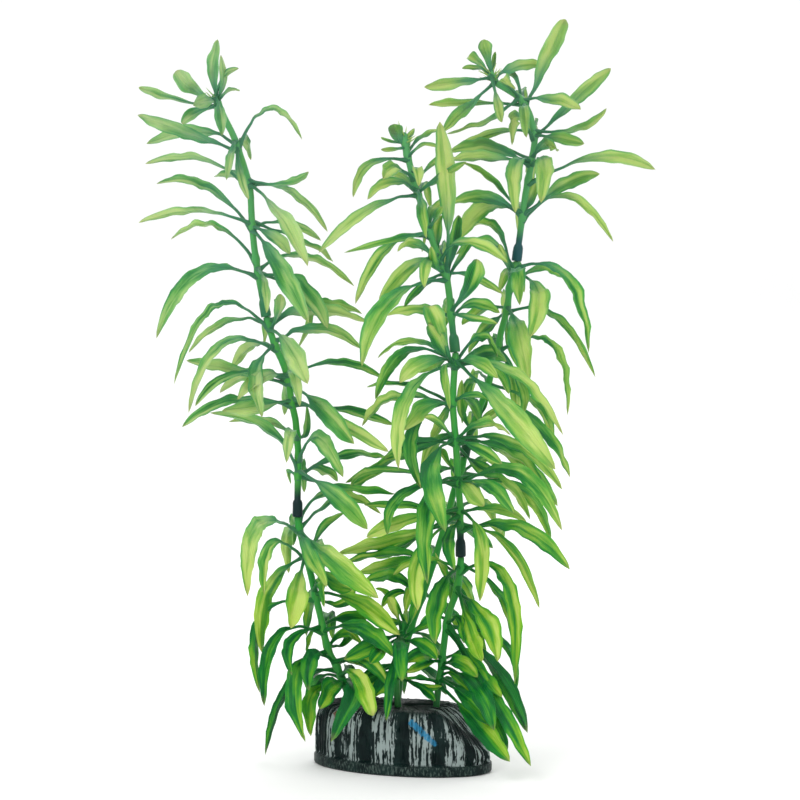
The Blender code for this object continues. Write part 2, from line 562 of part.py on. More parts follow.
class Leaf:
    """One leaf: a curve from its root on the stem through its middle to its tip."""

    def __init__(self, path, ring_up, place, values, index):
        self.path = path
        self.root_up = ring_up + ROOT_SPREAD * (scatter(place, GOLDEN_STEP) - 0.5)
        self.values = values
        self.petiole = SHORTEST_PETIOLE + PETIOLE_SPREAD * scatter(index, THIRD_STEP)
        self.roll_share = LEAST_ROLL + ROLL_SPREAD * scatter(index, GOLDEN_STEP)
        self.twist = MOST_TWIST * (2 * scatter(index, SILVER_STEP) - 1)
        self.is_blunt = values[2:4] in BLUNT_TIPS
        self.swing(0)

    def swing(self, extra):
        """Settles the leaf's curve with its tip this much further away."""
        self.extra = extra
        middle_across, middle_up, tip_across, tip_up, away, seen_width = self.values
        across, up, root_away = path_at(self.path, self.root_up)
        away = max(-FARTHEST, min(FARTHEST, DEPTH_SHARE * away))
        length = math.hypot(middle_across - across, middle_up - up)
        length += math.hypot(tip_across - middle_across, tip_up - middle_up)
        drop = END_ON_DROOP * max(0.0, abs(away) - length)
        away += extra
        self.root = seen(across, up, root_away)
        self.tip = seen(tip_across, tip_up - drop, root_away + away)
        middle_up += END_ON_LIFT * drop
        middle = seen(middle_across, middle_up, root_away + MIDDLE_AWAY * away)
        self.control = middle * 2 - (self.root + self.tip) / 2
        outward = self.tip - self.root
        full_width = min(LEAST_WIDTH, WIDTH_SHARE * outward.length / MM)
        self.width = max(WIDENING * seen_width, full_width)
        outward.z = 0
        self.side = UP.cross(outward).normalized()
        facing = self.facing_angle()
        shown = WIDENING * seen_width / self.width
        edge_on = math.acos(min(1.0, shown))
        held_back = max(edge_on, (1 - self.roll_share) * abs(facing))
        self.roll = facing - math.copysign(held_back, facing)
        self.turn = self.twist * shown

    def along(self, t):
        way = (self.control - self.root) * (1 - t) + (self.tip - self.control) * t
        return way.normalized()

    def facing_angle(self):
        """How far a level blade would be rolled to show its whole face in the front view."""
        along = self.along(0.5)
        normal = along.cross(self.side).normalized()
        facing = along.cross(SIGHT)
        angle = math.atan2(facing.dot(normal), facing.dot(self.side))
        if abs(angle) > math.pi / 2:
            angle -= math.copysign(math.pi, angle)
        return angle

    def frame(self, t):
        """The point at t along the leaf, its blade's sideways direction and its upper normal."""
        point = self.root * (1 - t) ** 2 + self.control * (2 * t * (1 - t)) + self.tip * t**2
        along = self.along(t)
        normal = along.cross(self.side).normalized()
        angle = (self.roll + self.turn * (t - UNTWISTED_AT)) * min(1, t / UNTWISTED_AT)
        across = self.side * math.cos(angle) + normal * math.sin(angle)
        return point, across, along.cross(across).normalized()

    def half_width(self, t):
        """Narrow at the petiole, widest past the middle and pointed at the tip, in metres."""
        blade = max(0.0, (t - self.petiole) / (1 - self.petiole))
        body = max(0.0, math.sin(math.pi * blade**WIDEST_LATE)) ** FULLNESS
        if self.is_blunt:
            rounding = max(0.0, (t - BLUNT_FROM) / BLUNT_OVER)
            body = smooth(t / BLUNT_FROM) * math.sqrt(max(0.0, 1 - rounding**2))
        petiole = min(PETIOLE_WIDTH, self.width) * (1 - t)
        return 0.5 * MM * max(petiole, self.width * body)

    def add_to(self, shape, grow=0.0):
        """Lofts the leaf as a thin blade with a ridge below it, this much thicker all round."""
        rings = []
        stations = STATIONS[:-1] + (LAST_BLUNT_STATION,) if self.is_blunt else STATIONS
        for t in stations:
            point, across, normal = self.frame(t)
            half = self.half_width(t) + grow
            rib = RIB_DEPTH * MM * (1 - 0.5 * t) + 2 * grow
            point = point + normal * grow
            corners = (point + across * half, point - normal * rib, point - across * half)
            rings.append([shape.verts.new(corner) for corner in corners])
        tip = shape.verts.new(self.tip)
        shape.faces.new(rings[0])
        for near, far in zip(rings, rings[1:]):
            for k in range(3):
                shape.faces.new((near[k - 1], near[k], far[k], far[k - 1])[::-1])
        for k in range(3):
            shape.faces.new((tip, rings[-1][k], rings[-1][k - 1]))


def leaf_tree(leaf):
    shape = bmesh.new()
    leaf.add_to(shape, CLEARANCE * MM)
    tree = BVHTree.FromBMesh(shape)
    shape.free()
    return tree


def settle(leaf, obstacles):
    """Swings the leaf to and fro until it clears the other sprigs, and says if it does."""
    for attempt in range(SWING_TRIES):
        extra = SWING_STEP * ((attempt + 1) // 2) * (-1) ** attempt
        leaf.swing(extra)
        probe = leaf_tree(leaf)
        if not any(probe.overlap(tree) for tree in obstacles):
            return True
    leaf.swing(0)
    return False


def bottom_of(path):
    """The lower end of a stem and the direction up from it."""
    low = seen(*path[-1])
    return low, (seen(*path[-2]) - low).normalized()


def stem_radius(up):
    """The stems thin towards their tips."""
    return STEM_RADIUS + (TOP_STEM_RADIUS - STEM_RADIUS) * up / TALLEST


def stem_points(path, path_above, has_socket):
    """The stem's points with their radii, from its lower end to its top."""
    low, upward = bottom_of(path)
    radius = stem_radius(path[-1][1])
    if has_socket:
        points = [
            (low + upward * GAP, SOCKET_RADIUS),
            (low + upward * (SOCKET_LENGTH * SOCKET_STRAIGHT), SOCKET_RADIUS),
            (low + upward * SOCKET_LENGTH, radius),
        ]
    else:
        points = [(low - upward * STEM_IN_HOLE, radius), (low, radius)]
    points += [(seen(*place), stem_radius(place[1])) for place in reversed(path[1:-1])]
    radius = stem_radius(path[0][1])
    if path_above is None:
        return points + [(seen(*path[0]), radius * TIP_SHARE)]
    joint, peg_way = bottom_of(path_above)
    return points + [
        (joint, radius),
        (joint + peg_way * PEG_ROOT, PEG_RADIUS),
        (joint + peg_way * PEG_LENGTH, PEG_RADIUS),
    ]


def tube_mesh(name, points):
    """A closed tube along these points, each with its own radius."""
    curve = bpy.data.curves.new(name, "CURVE")
    curve.dimensions = "3D"
    curve.bevel_depth = 1
    curve.bevel_resolution = 1
    curve.use_fill_caps = True
    spline = curve.splines.new("POLY")
    spline.points.add(len(points) - 1)
    for spline_point, (place, radius) in zip(spline.points, points):
        spline_point.co = (*place, 1)
        spline_point.radius = radius
    guide = bpy.data.objects.new(name, curve)
    bpy.context.scene.collection.objects.link(guide)
    graph = bpy.context.evaluated_depsgraph_get()
    mesh = bpy.data.meshes.new_from_object(guide.evaluated_get(graph))
    bpy.data.objects.remove(guide)
    shape = bmesh.new()
    shape.from_mesh(mesh)
    bmesh.ops.remove_doubles(shape, verts=shape.verts, dist=SAME_POINT)
    bmesh.ops.triangulate(shape, faces=shape.faces)
    bmesh.ops.recalc_face_normals(shape, faces=shape.faces)
    shape.to_mesh(mesh)
    shape.free()
    return mesh


def boolean(obj, operation, other, solver="EXACT"):
    modifier = obj.modifiers.new(other.name, "BOOLEAN")
    modifier.operation = operation
    modifier.object = other
    modifier.solver = solver
    other.display_type = "WIRE"
    other.hide_render = True


def shade(mesh):
    mesh.shade_smooth()
    mesh.set_sharp_from_angle(angle=SHARP_ANGLE)


def ridge_at(angle):
    """How far the bark stands out or lies back at this angle, in millimetres."""
    coarse = math.sin(RIDGES * angle + RIDGE_SWAY * math.sin(3 * angle))
    fine = math.sin(FINE_RIDGES * angle + 1)
    return RIDGE_DEPTH * ((coarse + FINE_SHARE * fine) / (1 + FINE_SHARE) - RIDGE_SWAY)


def foot_point(level, angle):
    """A point of the foot's skin, whose right end slopes down above the plinth, in metres."""
    height, inset = FOOT_LEVELS[level]
    is_bark = PLINTH_LEVEL < level < len(FOOT_LEVELS) - 1
    reach = (ridge_at(angle) if is_bark else 0.0) - inset
    x = math.cos(angle) * (FOOT_LENGTH / 2 + reach * MM)
    y = math.sin(angle) * (FOOT_DEPTH / 2 + reach * MM)
    plinth = FOOT_LEVELS[PLINTH_LEVEL][0]
    if height > plinth:
        drop = END_DROP * smooth((x / MM - END_DROP_FROM) / END_DROP_OVER)
        height = plinth + (height - plinth) * (1 - drop)
    return Vector((x, y, height * MM))


def build_foot(collection, cutters, material):
    """An oval lump with a smooth plinth, upright ridges and a hole for each stem."""
    shape = bmesh.new()
    bmesh.ops.create_circle(shape, cap_ends=False, segments=FOOT_SIDES, radius=1)
    ring = shape.verts[:]
    angles = [math.atan2(vert.co.y, vert.co.x) for vert in ring]
    edges = shape.edges[:]
    for level in range(len(FOOT_LEVELS)):
        if level > 0:
            made = bmesh.ops.extrude_edge_only(shape, edges=edges)["geom"]
            ring = [item for item in made if isinstance(item, bmesh.types.BMVert)]
            edges = [item for item in made if isinstance(item, bmesh.types.BMEdge)]
            edges = [edge for edge in edges if all(vert in ring for vert in edge.verts)]
        for vert, angle in zip(ring, angles):
            vert.co = foot_point(level, angle)
    ends = [edge for edge in shape.edges if edge.is_boundary]
    caps = bmesh.ops.holes_fill(shape, edges=ends)["faces"]
    bmesh.ops.poke(shape, faces=caps)
    bmesh.ops.recalc_face_normals(shape, faces=shape.faces)
    mesh = bpy.data.meshes.new("foot")
    shape.to_mesh(mesh)
    shape.free()
    shade(mesh)
    mesh.materials.append(material)
    foot = new_object("foot", mesh, collection)
    for name, path, _, _, has_socket in SPRIGS:
        if has_socket:
            continue
        low, upward = bottom_of(path)
        radius = stem_radius(path[-1][1]) + GAP
        ends = [(low - upward * STEM_HOLE_DEPTH, radius), (low + upward * HOLE_RISE, radius)]
        hole = new_object(name + "_hole", tube_mesh(name + "_hole", ends), cutters)
        boolean(foot, "DIFFERENCE", hole)
    return foot


def tree_of(mesh):
    shape = bmesh.new()
    shape.from_mesh(mesh)
    tree = BVHTree.FromBMesh(shape)
    shape.free()
    return tree


def build_sprig(sprig, leaves, stem_mesh, collections, material):
    """The stem with its leaves joined to it, and a bore in its socket.

    Where two leaves happen to touch along an edge, each leaf is moved a little and joined again.
    """
    stem_mesh.materials.append(material)
    for _ in range(JOIN_TRIES):
        stem, helpers = join_leaves(sprig, leaves, stem_mesh, collections)
        mesh = thinned(stem, leaves)
        if mesh is not None:
            shade(mesh)
            stem.modifiers.clear()
            stem.data = mesh
            return
        for obj in [stem] + helpers:
            bpy.data.objects.remove(obj)
        for number, leaf in enumerate(leaves):
            share = 0.5 + scatter(number, GOLDEN_STEP)
            leaf.root_up += ROOT_STEP * share
            leaf.twist += TWIST_STEP * share
            leaf.swing(leaf.extra)
    print("no clean joint of", sprig[0])


def join_leaves(sprig, leaves, stem_mesh, collections):
    """EXACT leaves open seams where many leaves cross at one ring, so this uses MANIFOLD."""
    name, path, _, _, has_socket = sprig
    parts, cutters = collections
    stem = new_object(name, stem_mesh, parts)
    helpers = []
    for number, leaf in enumerate(leaves, 1):
        blade = new_object(f"{name}_leaf_{number}", leaf_mesh(leaf), cutters)
        boolean(stem, "UNION", blade, "MANIFOLD")
        helpers.append(blade)
    if has_socket:
        low, upward = bottom_of(path)
        radius = PEG_RADIUS + PEG_PLAY
        ends = [(low - upward * CUT_BEYOND, radius), (low + upward * (PEG_LENGTH + GAP), radius)]
        bore = new_object(name + "_bore", tube_mesh(name + "_bore", ends), cutters)
        boolean(stem, "DIFFERENCE", bore, "MANIFOLD")
        helpers.append(bore)
    return stem, helpers


def leaf_mesh(leaf):
    shape = bmesh.new()
    leaf.add_to(shape)
    bmesh.ops.triangulate(shape, faces=shape.faces)
    bmesh.ops.recalc_face_normals(shape, faces=shape.faces)
    mesh = bpy.data.meshes.new("leaf")
    shape.to_mesh(mesh)
    shape.free()
    return mesh


def island_of(face, found):
    """The faces joined edge to edge with this one."""
    island = [face]
    found.add(face)
    for member in island:
        for edge in member.edges:
            for neighbour in edge.link_faces:
                if neighbour not in found:
                    found.add(neighbour)
                    island.append(neighbour)
    return island


def fill_pockets(shape):
    """Drops the walls of any pocket sealed between the leaves."""
    found = set()
    dropped = []
    for face in shape.faces:
        if face in found:
            continue
        island = island_of(face, found)
        volume = sum(f.verts[0].co.dot(f.verts[1].co.cross(f.verts[2].co)) for f in island) / 6
        if volume < SMALLEST_BODY:
            dropped += island
    bmesh.ops.delete(shape, geom=dropped, context="FACES")


def is_sewn_once(shape, same_place):
    """True if no two points, and so no two edges, of the mesh lie on each other."""
    places = {v: tuple(round(c / same_place) for c in v.co) for v in shape.verts}
    closed = all(e.is_manifold and e.is_contiguous for e in shape.edges)
    shortest = min(edge.calc_length() for edge in shape.edges)
    return closed and len(set(places.values())) == len(places) and shortest > SHORTEST_EDGE


def reach_tips(shape, leaves):
    """Draws the end of each leaf out to its tip again, where thinning has shortened it."""
    drawn = set()
    for leaf in leaves:
        outward = leaf.along(1)
        nearest = LONGEST_DRAW
        end = None
        for vert in shape.verts:
            gap = leaf.tip - vert.co
            is_behind = gap.dot(outward) >= DRAW_ALONG * gap.length
            if vert not in drawn and is_behind and gap.length < nearest:
                nearest = gap.length
                end = vert
        if end is not None:
            end.co = leaf.tip
            drawn.add(end)


def clear_slivers(shape):
    bmesh.ops.dissolve_degenerate(shape, edges=shape.edges, dist=SHORTEST_EDGE)
    bmesh.ops.triangulate(shape, faces=shape.faces)


def thinned(obj, leaves):
    """The joined mesh with its smallest triangles merged away, or None if it touches itself."""
    thin = obj.modifiers.new("thin", "DECIMATE")
    for step in range(THINNING_TRIES):
        thin.ratio = KEPT_TRIANGLES + THINNING_STEP * step
        graph = bpy.context.evaluated_depsgraph_get()
        mesh = bpy.data.meshes.new_from_object(obj.evaluated_get(graph))
        shape = bmesh.new()
        shape.from_mesh(mesh)
        clear_slivers(shape)
        fill_pockets(shape)
        reach_tips(shape, leaves)
        clear_slivers(shape)
        clean = all(is_sewn_once(shape, same_place) for same_place in SAME_PLACES)
        shape.to_mesh(mesh)
        shape.free()
        if clean:
            return mesh
    return None


def leaves_of(sprig, first_index):
    _, path, rings, _, _ = sprig
    leaves = []
    for ring_up, ring in rings:
        for place, values in enumerate(ring):
            leaves.append(Leaf(path, ring_up, place, values, first_index + len(leaves)))
    return leaves


def main():
    clear_scene()
    parts = new_collection("mud_plantain")
    cutters = new_collection("cutters", is_helper=True)
    foot = build_foot(parts, cutters, new_material("painted_bark", BARK, BARK_ROUGHNESS))
    stems = {s[0]: tube_mesh(s[0], stem_points(s[1], s[3], s[4])) for s in SPRIGS}
    stem_trees = {name: tree_of(mesh) for name, mesh in stems.items()}
    foot_tree = tree_of(foot.data)
    colours = {"base": DEEP_GREEN, "middle": GREEN, "top": LIME, "sprig": DEEP_GREEN}
    settled = []
    index = 0
    for sprig in SPRIGS:
        name = sprig[0]
        leaves = leaves_of(sprig, index)
        index += len(leaves)
        others = [tree for other, tree in stem_trees.items() if other != name]
        obstacles = [foot_tree] + others + settled
        for leaf in leaves:
            if not settle(leaf, obstacles):
                print("no clear way for a leaf of", name, leaf.values)
        settled += [leaf_tree(leaf) for leaf in leaves]
        colour = colours[name.split("_")[-1]]
        material = new_material(name, colour, PLASTIC_ROUGHNESS)
        build_sprig(sprig, leaves, stems[name], (parts, cutters), material)
    print(index, "leaves")


main()
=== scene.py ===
"""The artificial mud plantain as it looks: thin ruffled leaves, jointed stems and a painted foot.

The plant was read from the front, from a spot turned FRONT_YAW about Z. The tables below give
places as seen from there, in millimetres: across to the right, up, and away from the viewer.
"""

import math

import bmesh
import bpy
import numpy as np
from mathutils import Matrix, Vector, noise
from mathutils.bvhtree import BVHTree


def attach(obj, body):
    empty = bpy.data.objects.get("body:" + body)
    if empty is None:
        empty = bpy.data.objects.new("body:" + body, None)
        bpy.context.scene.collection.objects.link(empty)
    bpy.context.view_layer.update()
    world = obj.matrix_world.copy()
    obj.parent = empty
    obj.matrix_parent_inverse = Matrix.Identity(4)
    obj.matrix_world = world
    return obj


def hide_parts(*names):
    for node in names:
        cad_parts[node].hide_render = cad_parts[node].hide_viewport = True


MM = 0.001
UP = Vector((0, 0, 1))

# How the front view was read, and the photo's frame in millimetres
FRONT_YAW = math.radians(20)
EYE_DISTANCE = 950
EYE_HEIGHT = 200
READ_ABOVE_FLOOR = 4
SIGHT = Matrix.Rotation(FRONT_YAW, 3, "Z") @ Vector((0, 1, 0))
LOWEST_LEAF = 2.5
FRAME_WIDTH = 360
FRAME_MIDDLE = (-0.9, 164.75)
SENSOR = 36

# Foot, with the height and the inset from its outline of each level of its skin, in millimetres
FOOT_LENGTH = 0.0835
FOOT_DEPTH = 0.0450
FOOT_PROFILE = (
    (0, 1.2), (0.3, 0.5), (0.8, 0), (4.0, 0), (4.4, 0.3), (4.9, 0.7), (5.6, 0.9), (11, 0.6),
    (17, 0.7), (21, 1.0), (24, 1.7), (25.8, 2.7), (27, 4.1), (27.7, 5.6), (28, 7.5),
)
FOOT_TURNS = 620
FOOT_ROWS = 90
TOP_SHARES = (0.94, 0.86, 0.76, 0.63, 0.48, 0.32, 0.16, 0.04)
PLINTH_TOP = 4.2
BARK_FROM = 4.6
BARK_OVER = 1.2
RIDGE_DEPTH = 1.1
RIDGES = 15
RIDGE_SWAY = 0.6
FINE_RIDGES = 29
FINE_SHARE = 0.5
END_DROP = 0.70
END_DROP_FROM = 19
END_DROP_OVER = 22
BARK_UNTIL = 26
BARK_ENDS_OVER = 2
RELIEF_UNTIL = 25.5
RELIEF_ENDS_OVER = 2.5
SWAYS = 3
MIDDLE_STRAND = 0.75
MIDDLE_BUMP = 0.8
STRAND_WIDTH = 1.0
SLOPE_FROM = 0.42
SLOPE_OVER = 0.15
STRAND_LENGTH = 19
STRAND_HEIGHT = 0.75
STRAND_WARP = 0.5
BARK_SEED = 1  # fixes the strands' warp, which the clock would seed otherwise, also for 0
WARP_SCALE = 0.7
WARP_SPOT = Vector((3, 1, 7))
CREST_SHARPNESS = 2.6
SECOND_SHARPNESS = 2.4
SECOND_SCALE = 2.3
SECOND_SPOT = Vector((9, 4, 2))
SECOND_SHARE = 0.25
TOP_BUMPS = 0.6
STEM_HOLE_DEPTH = 0.0150

# Stems: the radius at the foot and at the height of the tallest tip
STEM_RADIUS = 0.00155
TOP_STEM_RADIUS = 0.00145
TALLEST = 330
SOCKET_RADIUS = 0.00235
SOCKET_LENGTH = 0.0080
SOCKET_PROFILE = ((0.0003, 0.93), (0.0009, 1.0), (0.0046, 0.98), (0.0064, 0.94), (0.0073, 0.84))
PEG_RADIUS = 0.00085
PEG_LENGTH = 0.0060
STEM_STEP = 1.0
STEM_SIDES = 16
RING_SWELL = 0.30
RING_LENGTH = 2.0
STEM_BUMPS = 0.05
BUMP_SCALE = 400
BUMPS_ROUND = 1.5
HOLE_SHARE = 0.8
PLAIN_START = 0.001
DARK_LENGTH = 0.010
BELOW_COLLAR = -0.0012
PEG_FROM = 0.0001

# Each cap's and collar ring's rise along the stem in metres, with its share of the stem's radius
TIP_CAPS = ((0.0006, 0.8), (0.0011, 0.5), (0.0013, 0.15))
COLLAR = ((-0.0009, 1.0), (-0.0002, 1.0), (0.0, 0.92))

# How dark the plastic of the stems is, from 0 to 1. Three sprigs have paler sockets.
PLAIN_DARKNESS = 0.4
HOLE_DARKNESS = 0.6
FLOOR_DARKNESS = 0.5
CAP_DARKNESS = 0.3
COLLAR_DARKNESS = 0.25
PEG_DARKNESS = 0.5
SOCKET_DARKNESS = {"left_stem_top": 0.55, "front_stem_top": 0.6, "rear_stem_middle": 0.8}

# Leaves: sizes in millimetres, and places as shares of the leaf's length
PETIOLE_WIDTH = 1.7
SHORTEST_PETIOLE = 0.10
PETIOLE_SPREAD = 0.22
WIDEST_LATE = 1.2
FULLNESS = 0.65
BLUNT_FROM = 0.76
BLUNT_OVER = 0.26
FINE_BLUNT_END = 1.001
WIDENING = 1.02
LEAST_WIDTH = 3.7
WIDTH_SHARE = 0.13
RIB_DEPTH = 0.85
ROOT_SPREAD = 5.0
STATIONS = (0.0, 0.29, 0.57, 0.81)
LAST_BLUNT_STATION = 0.92
MIDDLE_AWAY = 0.55
LEAST_ROLL = 0.60
ROLL_SPREAD = 0.25
MOST_TWIST = math.radians(55)
UNTWISTED_AT = 0.3
DEPTH_SHARE = 1.6
FARTHEST = 30
END_ON_DROOP = 0.35
END_ON_LIFT = 0.1

# Finer leaf shape
LEAF_ROWS = 34
LEAF_COLUMNS = 11
BLADE_THICKNESS = 0.42
EDGE_THINNING = 0.7
RIB_THICKNESS = 0.55
RIB_SHARE = 0.30
GROOVE_DEPTH = 0.16
RUFFLE_LENGTH = 13.0
RUFFLE_HEIGHT = 1.3
RUFFLE_FULL_AT = 2.6
OUTLINE_WAVE = 0.13
SPINE_WAVE = 1.1
LEAST_FOLD = 0.16
FOLD_SPREAD = 0.42
SHEATH_END = 0.10
SHEATH_FLARE = 0.9
THINNEST_HALF = 0.05
BLADE_RISES_AT = 0.6
BLADE_RISES_OVER = 0.10
SPINE_PACE = 0.8
OUTLINE_PACE = 1.3
OUTLINE_LANES = 3
PETIOLE_ROUNDNESS = 0.9
FULL_THICKNESS_AT = 0.8
LEAST_THICKNESS = 0.00002
WANDER_SIZE = 1.6
WANDER_STEPS = (7.31, 2.2, 5.17)
STREAK_LENGTH = 22.0
STREAKS_ACROSS = 1.3
STREAK_STEP = 3.7

# Short bristles at the stem tips: their number by sprig, and their sizes in millimetres. The lean
# is the least with its spread in degrees; the marks are along with its spread, across and tone.
BRISTLES = {"left_stem_top": 7, "front_stem_top": 13, "rear_stem_top": 15}
BRISTLE_LENGTH = 5.0
BRISTLE_SPREAD = 3.5
BRISTLE_RADIUS = 0.42
BRISTLE_DEPTH = 5.0
BRISTLE_LEAN = (25, 75)
BRISTLE_RISE = 0.25
BRISTLE_TAPER = 0.7
BRISTLE_POINT = 0.00004
BRISTLE_STEPS = 6
BRISTLE_SIDES = 6
BRISTLE_MARKS = (0.35, 0.65, 0.6, 0.45)

# Steps whose multiples, less their whole parts, spread evenly from 0 to 1
GOLDEN_STEP = 0.618
SILVER_STEP = 0.414
THIRD_STEP = 0.271
FOURTH_STEP = 0.531

# How leaves are moved clear of other sprigs
CLEARANCE = 0.35
SWING_STEP = 3
SWING_TRIES = 17

# Leaves with a rounded end, by the place of the tip (across, up)
BLUNT_TIPS = (
    (-101.5, 317), (37, 331), (73.5, 340), (-3, 294), (-8.5, 270.5), (34, 232), (12.5, 211),
    (30, 323.5), (-13, 28.5),
)

# Each stem path runs from the top down: across, up, away.
# Each leaf ring is the height of its roots and its leaves, and each leaf is the place of its
# middle (across, up), the place of its tip (across, up), how far the tip reaches away, and its width.

LEFT_TOP_PATH = (
    (-84, 305, 0), (-80, 296, 0), (-76, 288, 0), (-73.5, 281, 0), (-70.5, 272, -1),
    (-68.3, 263, -1), (-67.8, 254, -1), (-67.3, 246, -1), (-66.3, 236, 0), (-64.8, 226, 0),
    (-63.2, 217, 1), (-61, 206, 1),
)
LEFT_TOP_LEAVES = (
    (303, (
        (-104, 304.5, -118.5, 309.5, 5, 4), (-94, 308.5, -101.5, 317, -6, 7.5),
        (-85, 317, -83, 331, 2, 5.5), (-80, 314.5, -73.5, 318, -5, 2.5),
        (-78, 308, -73, 308, -8, 1.8), (-93, 298, -99, 293, -8, 5),
        (-80.5, 312, -81.5, 324, -4, 3.5), (-88, 303, -94, 305, -14, 6),
        (-82, 299, -81, 292, -16, 5),
    )),
    (283, (
        (-97.5, 289, -119, 297, -8, 6), (-92, 289.5, -115, 284, 10, 6),
        (-60, 299.5, -45, 286, 4, 2.5), (-77, 279, -79, 272, -16, 3.5),
        (-73, 271, -69, 259, -12, 3.5), (-71, 286, -68, 284, 24, 3),
    )),
    (266, (
        (-90, 276.8, -115.5, 275, -5, 3.2), (-77, 270, -84.5, 270.5, 12, 6),
        (-50, 262.5, -33.5, 244.5, 8, 3), (-53, 266, -42, 271.5, -10, 3.8),
        (-56, 253, -42.5, 229, -14, 7.5),
    )),
    (247, (
        (-88.5, 265, -110.5, 266, 6, 4.5), (-93, 254, -118.5, 248.5, -8, 2.8),
        (-52, 248.5, -36.5, 240.5, 10, 3.2), (-44, 240, -31, 231, 18, 2.5),
        (-57.5, 242, -50.5, 234.5, -10, 6),
        (-56.5, 231, -42, 203.5, -16, 8.5),
    )),
    (232, (
        (-84, 247, -104, 241, 8, 4),
    )),
    (226, (
        (-92, 225.5, -110.5, 196.5, -8, 6), (-45, 233.5, -21.5, 220, 12, 3.5),
        (-47, 221, -33.5, 201, 4, 8),
        (-62, 221, -61, 213, -22, 3), (-43, 213, -47, 192, 18, 3),
    )),
)

LEFT_MIDDLE_PATH = (
    (-61, 206, 1), (-60, 202, 1), (-57, 193, 1), (-53.5, 185, 1), (-51, 177, 1),
    (-49.8, 168, 0), (-48, 160, 0), (-47.2, 151, 0), (-46.5, 143, 0), (-46.8, 134, 0),
    (-47, 125, 0), (-47, 116, 0),
)
LEFT_MIDDLE_LEAVES = (
    (202, (
        (-84, 211, -102.5, 176, -6, 3.2), (-79, 204, -96, 190, 8, 3),
        (-51, 193, -42.5, 176, -18, 9), (-39, 209.5, -15, 203.5, 10, 7.5),
        (-38, 211.5, -18, 207.5, 18, 5), (-55.5, 209, -55, 217, -12, 5),
        (-60, 206, -62, 201, 26, 3),
    )),
    (193, (
        (-81.5, 193.5, -96, 163, -6, 4.2), (-66, 181, -63, 161, -22, 7.5),
        (-68, 193, -76.5, 182, 14, 5), (-37, 201, -18, 191.5, 8, 5.5),
        (-52, 190, -48, 182, 25, 5),
    )),
    (178, (
        (-75, 182, -97, 186.5, 10, 5.5), (-77, 180, -93, 166, -8, 3.5),
        (-68, 181, -82, 172, 16, 5), (-62, 179, -74, 169, -16, 6),
        (-30, 186, -8, 178, 12, 3.5), (-37, 166, -21.5, 149, -14, 8.5),
        (-49, 181, -46, 172, -24, 5),
    )),
    (168, (
        (-76, 168.5, -99, 156.5, -6, 5), (-63, 166.5, -81, 164, -12, 7), (-25, 164, -4, 157.5, 8, 4.5),
        (-27, 158, -6, 145.5, -10, 5.5), (-51, 174, -53, 168, 26, 5),
    )),
    (152, (
        (-58, 158, -78, 159, 10, 4.5),
        (-43, 154, -43, 167, 4, 3), (-50, 154, -52, 147, -24, 5),
    )),
    (143, (
        (-38, 152, -26.5, 134, -12, 7.5),
    )),
    (135, (
        (-58, 153.5, -86.5, 163, -6, 5.5), (-37, 138, -29, 132, 8, 5), (-27, 143.5, -5.5, 142, 10, 5),
        (-31, 126.5, -15.5, 110.5, -14, 8.5), (-27, 129, -3, 126.5, 6, 4.5),
        (-51, 137, -50, 131, 4, 2), (-46, 140, -44, 134, 26, 5),
    )),
)

LEFT_BASE_PATH = (
    (-47, 116, 0), (-46.5, 112, 0), (-44.5, 104, 0), (-42.5, 96, 0), (-40.5, 88, 0),
    (-38.8, 80, 0), (-36.8, 72, 0), (-35.2, 64, 0), (-33, 56, 0), (-29, 48, 0), (-25, 38, 0),
)
LEFT_BASE_LEAVES = (
    (111, (
        (-65, 112, -69.5, 80.5, -8, 7.5), (-51.5, 108, -51, 92, 16, 5),
        (-33, 98, -10.5, 79.5, -18, 9.5), (-33, 127, -9.5, 117.5, 10, 5),
        (-28, 126, -6, 138, 16, 2.5), (-42, 100, -34, 86, -26, 7),
        (-48, 116, -49, 110, 26, 5),
    )),
    (98, (
        (-58, 104, -62, 81, -10, 5.5), (-60, 83, -63, 55, 6, 7.5),
        (-36, 110, -26, 118, 8, 3), (-47, 84, -50, 66, -24, 9),
        (-38, 104, -35, 98, 24, 5), (-31, 87, -22.5, 83.5, -10, 6.5),
    )),
    (81, (
        (-63, 71, -64, 37, 12, 5), (-20, 78, -1, 63, -14, 8.5),
        (-27, 77, -21, 85, 10, 4), (-37, 87, -35, 82, -18, 4),
        (-41, 80, -43, 68, 24, 5),
    )),
    (66, (
        (-56, 62, -62, 31, -6, 5.5), (-50, 60, -49.5, 45, -14, 5),
        (-19, 66, -3.5, 53, -16, 8), (-26, 71, -16, 70, 8, 6),
        (-40, 64, -43, 58, 12, 2.5), (-33, 72, -31, 66, 26, 5),
    )),
    (58, (
        (-48, 45, -43.5, 15, -12, 8), (-25, 60, -20, 73, 12, 4), (-26, 64, -18, 58.5, 6, 4.5),
    )),
    (49, (
        (-50, 41, -61.5, 7, 8, 4.5), (-40, 54, -42, 38, -10, 7.5),
        (-40, 45, -40.5, 36, 12, 6), (-17, 52, -6, 40, -14, 6),
        (-23, 51.5, -15.5, 47.5, 8, 5),
    )),
    (43, (
        (-40, 37, -41, 17.5, -10, 6.5), (-38, 42, -42, 24, 10, 6),
        (-21, 40, -32, 15, -27, 9), (-20, 44, -13, 28.5, -27, 8),
        (-24, 48, -22, 40, 22, 5), (-31.5, 40, -37, 30.5, -12, 9),
    )),
)

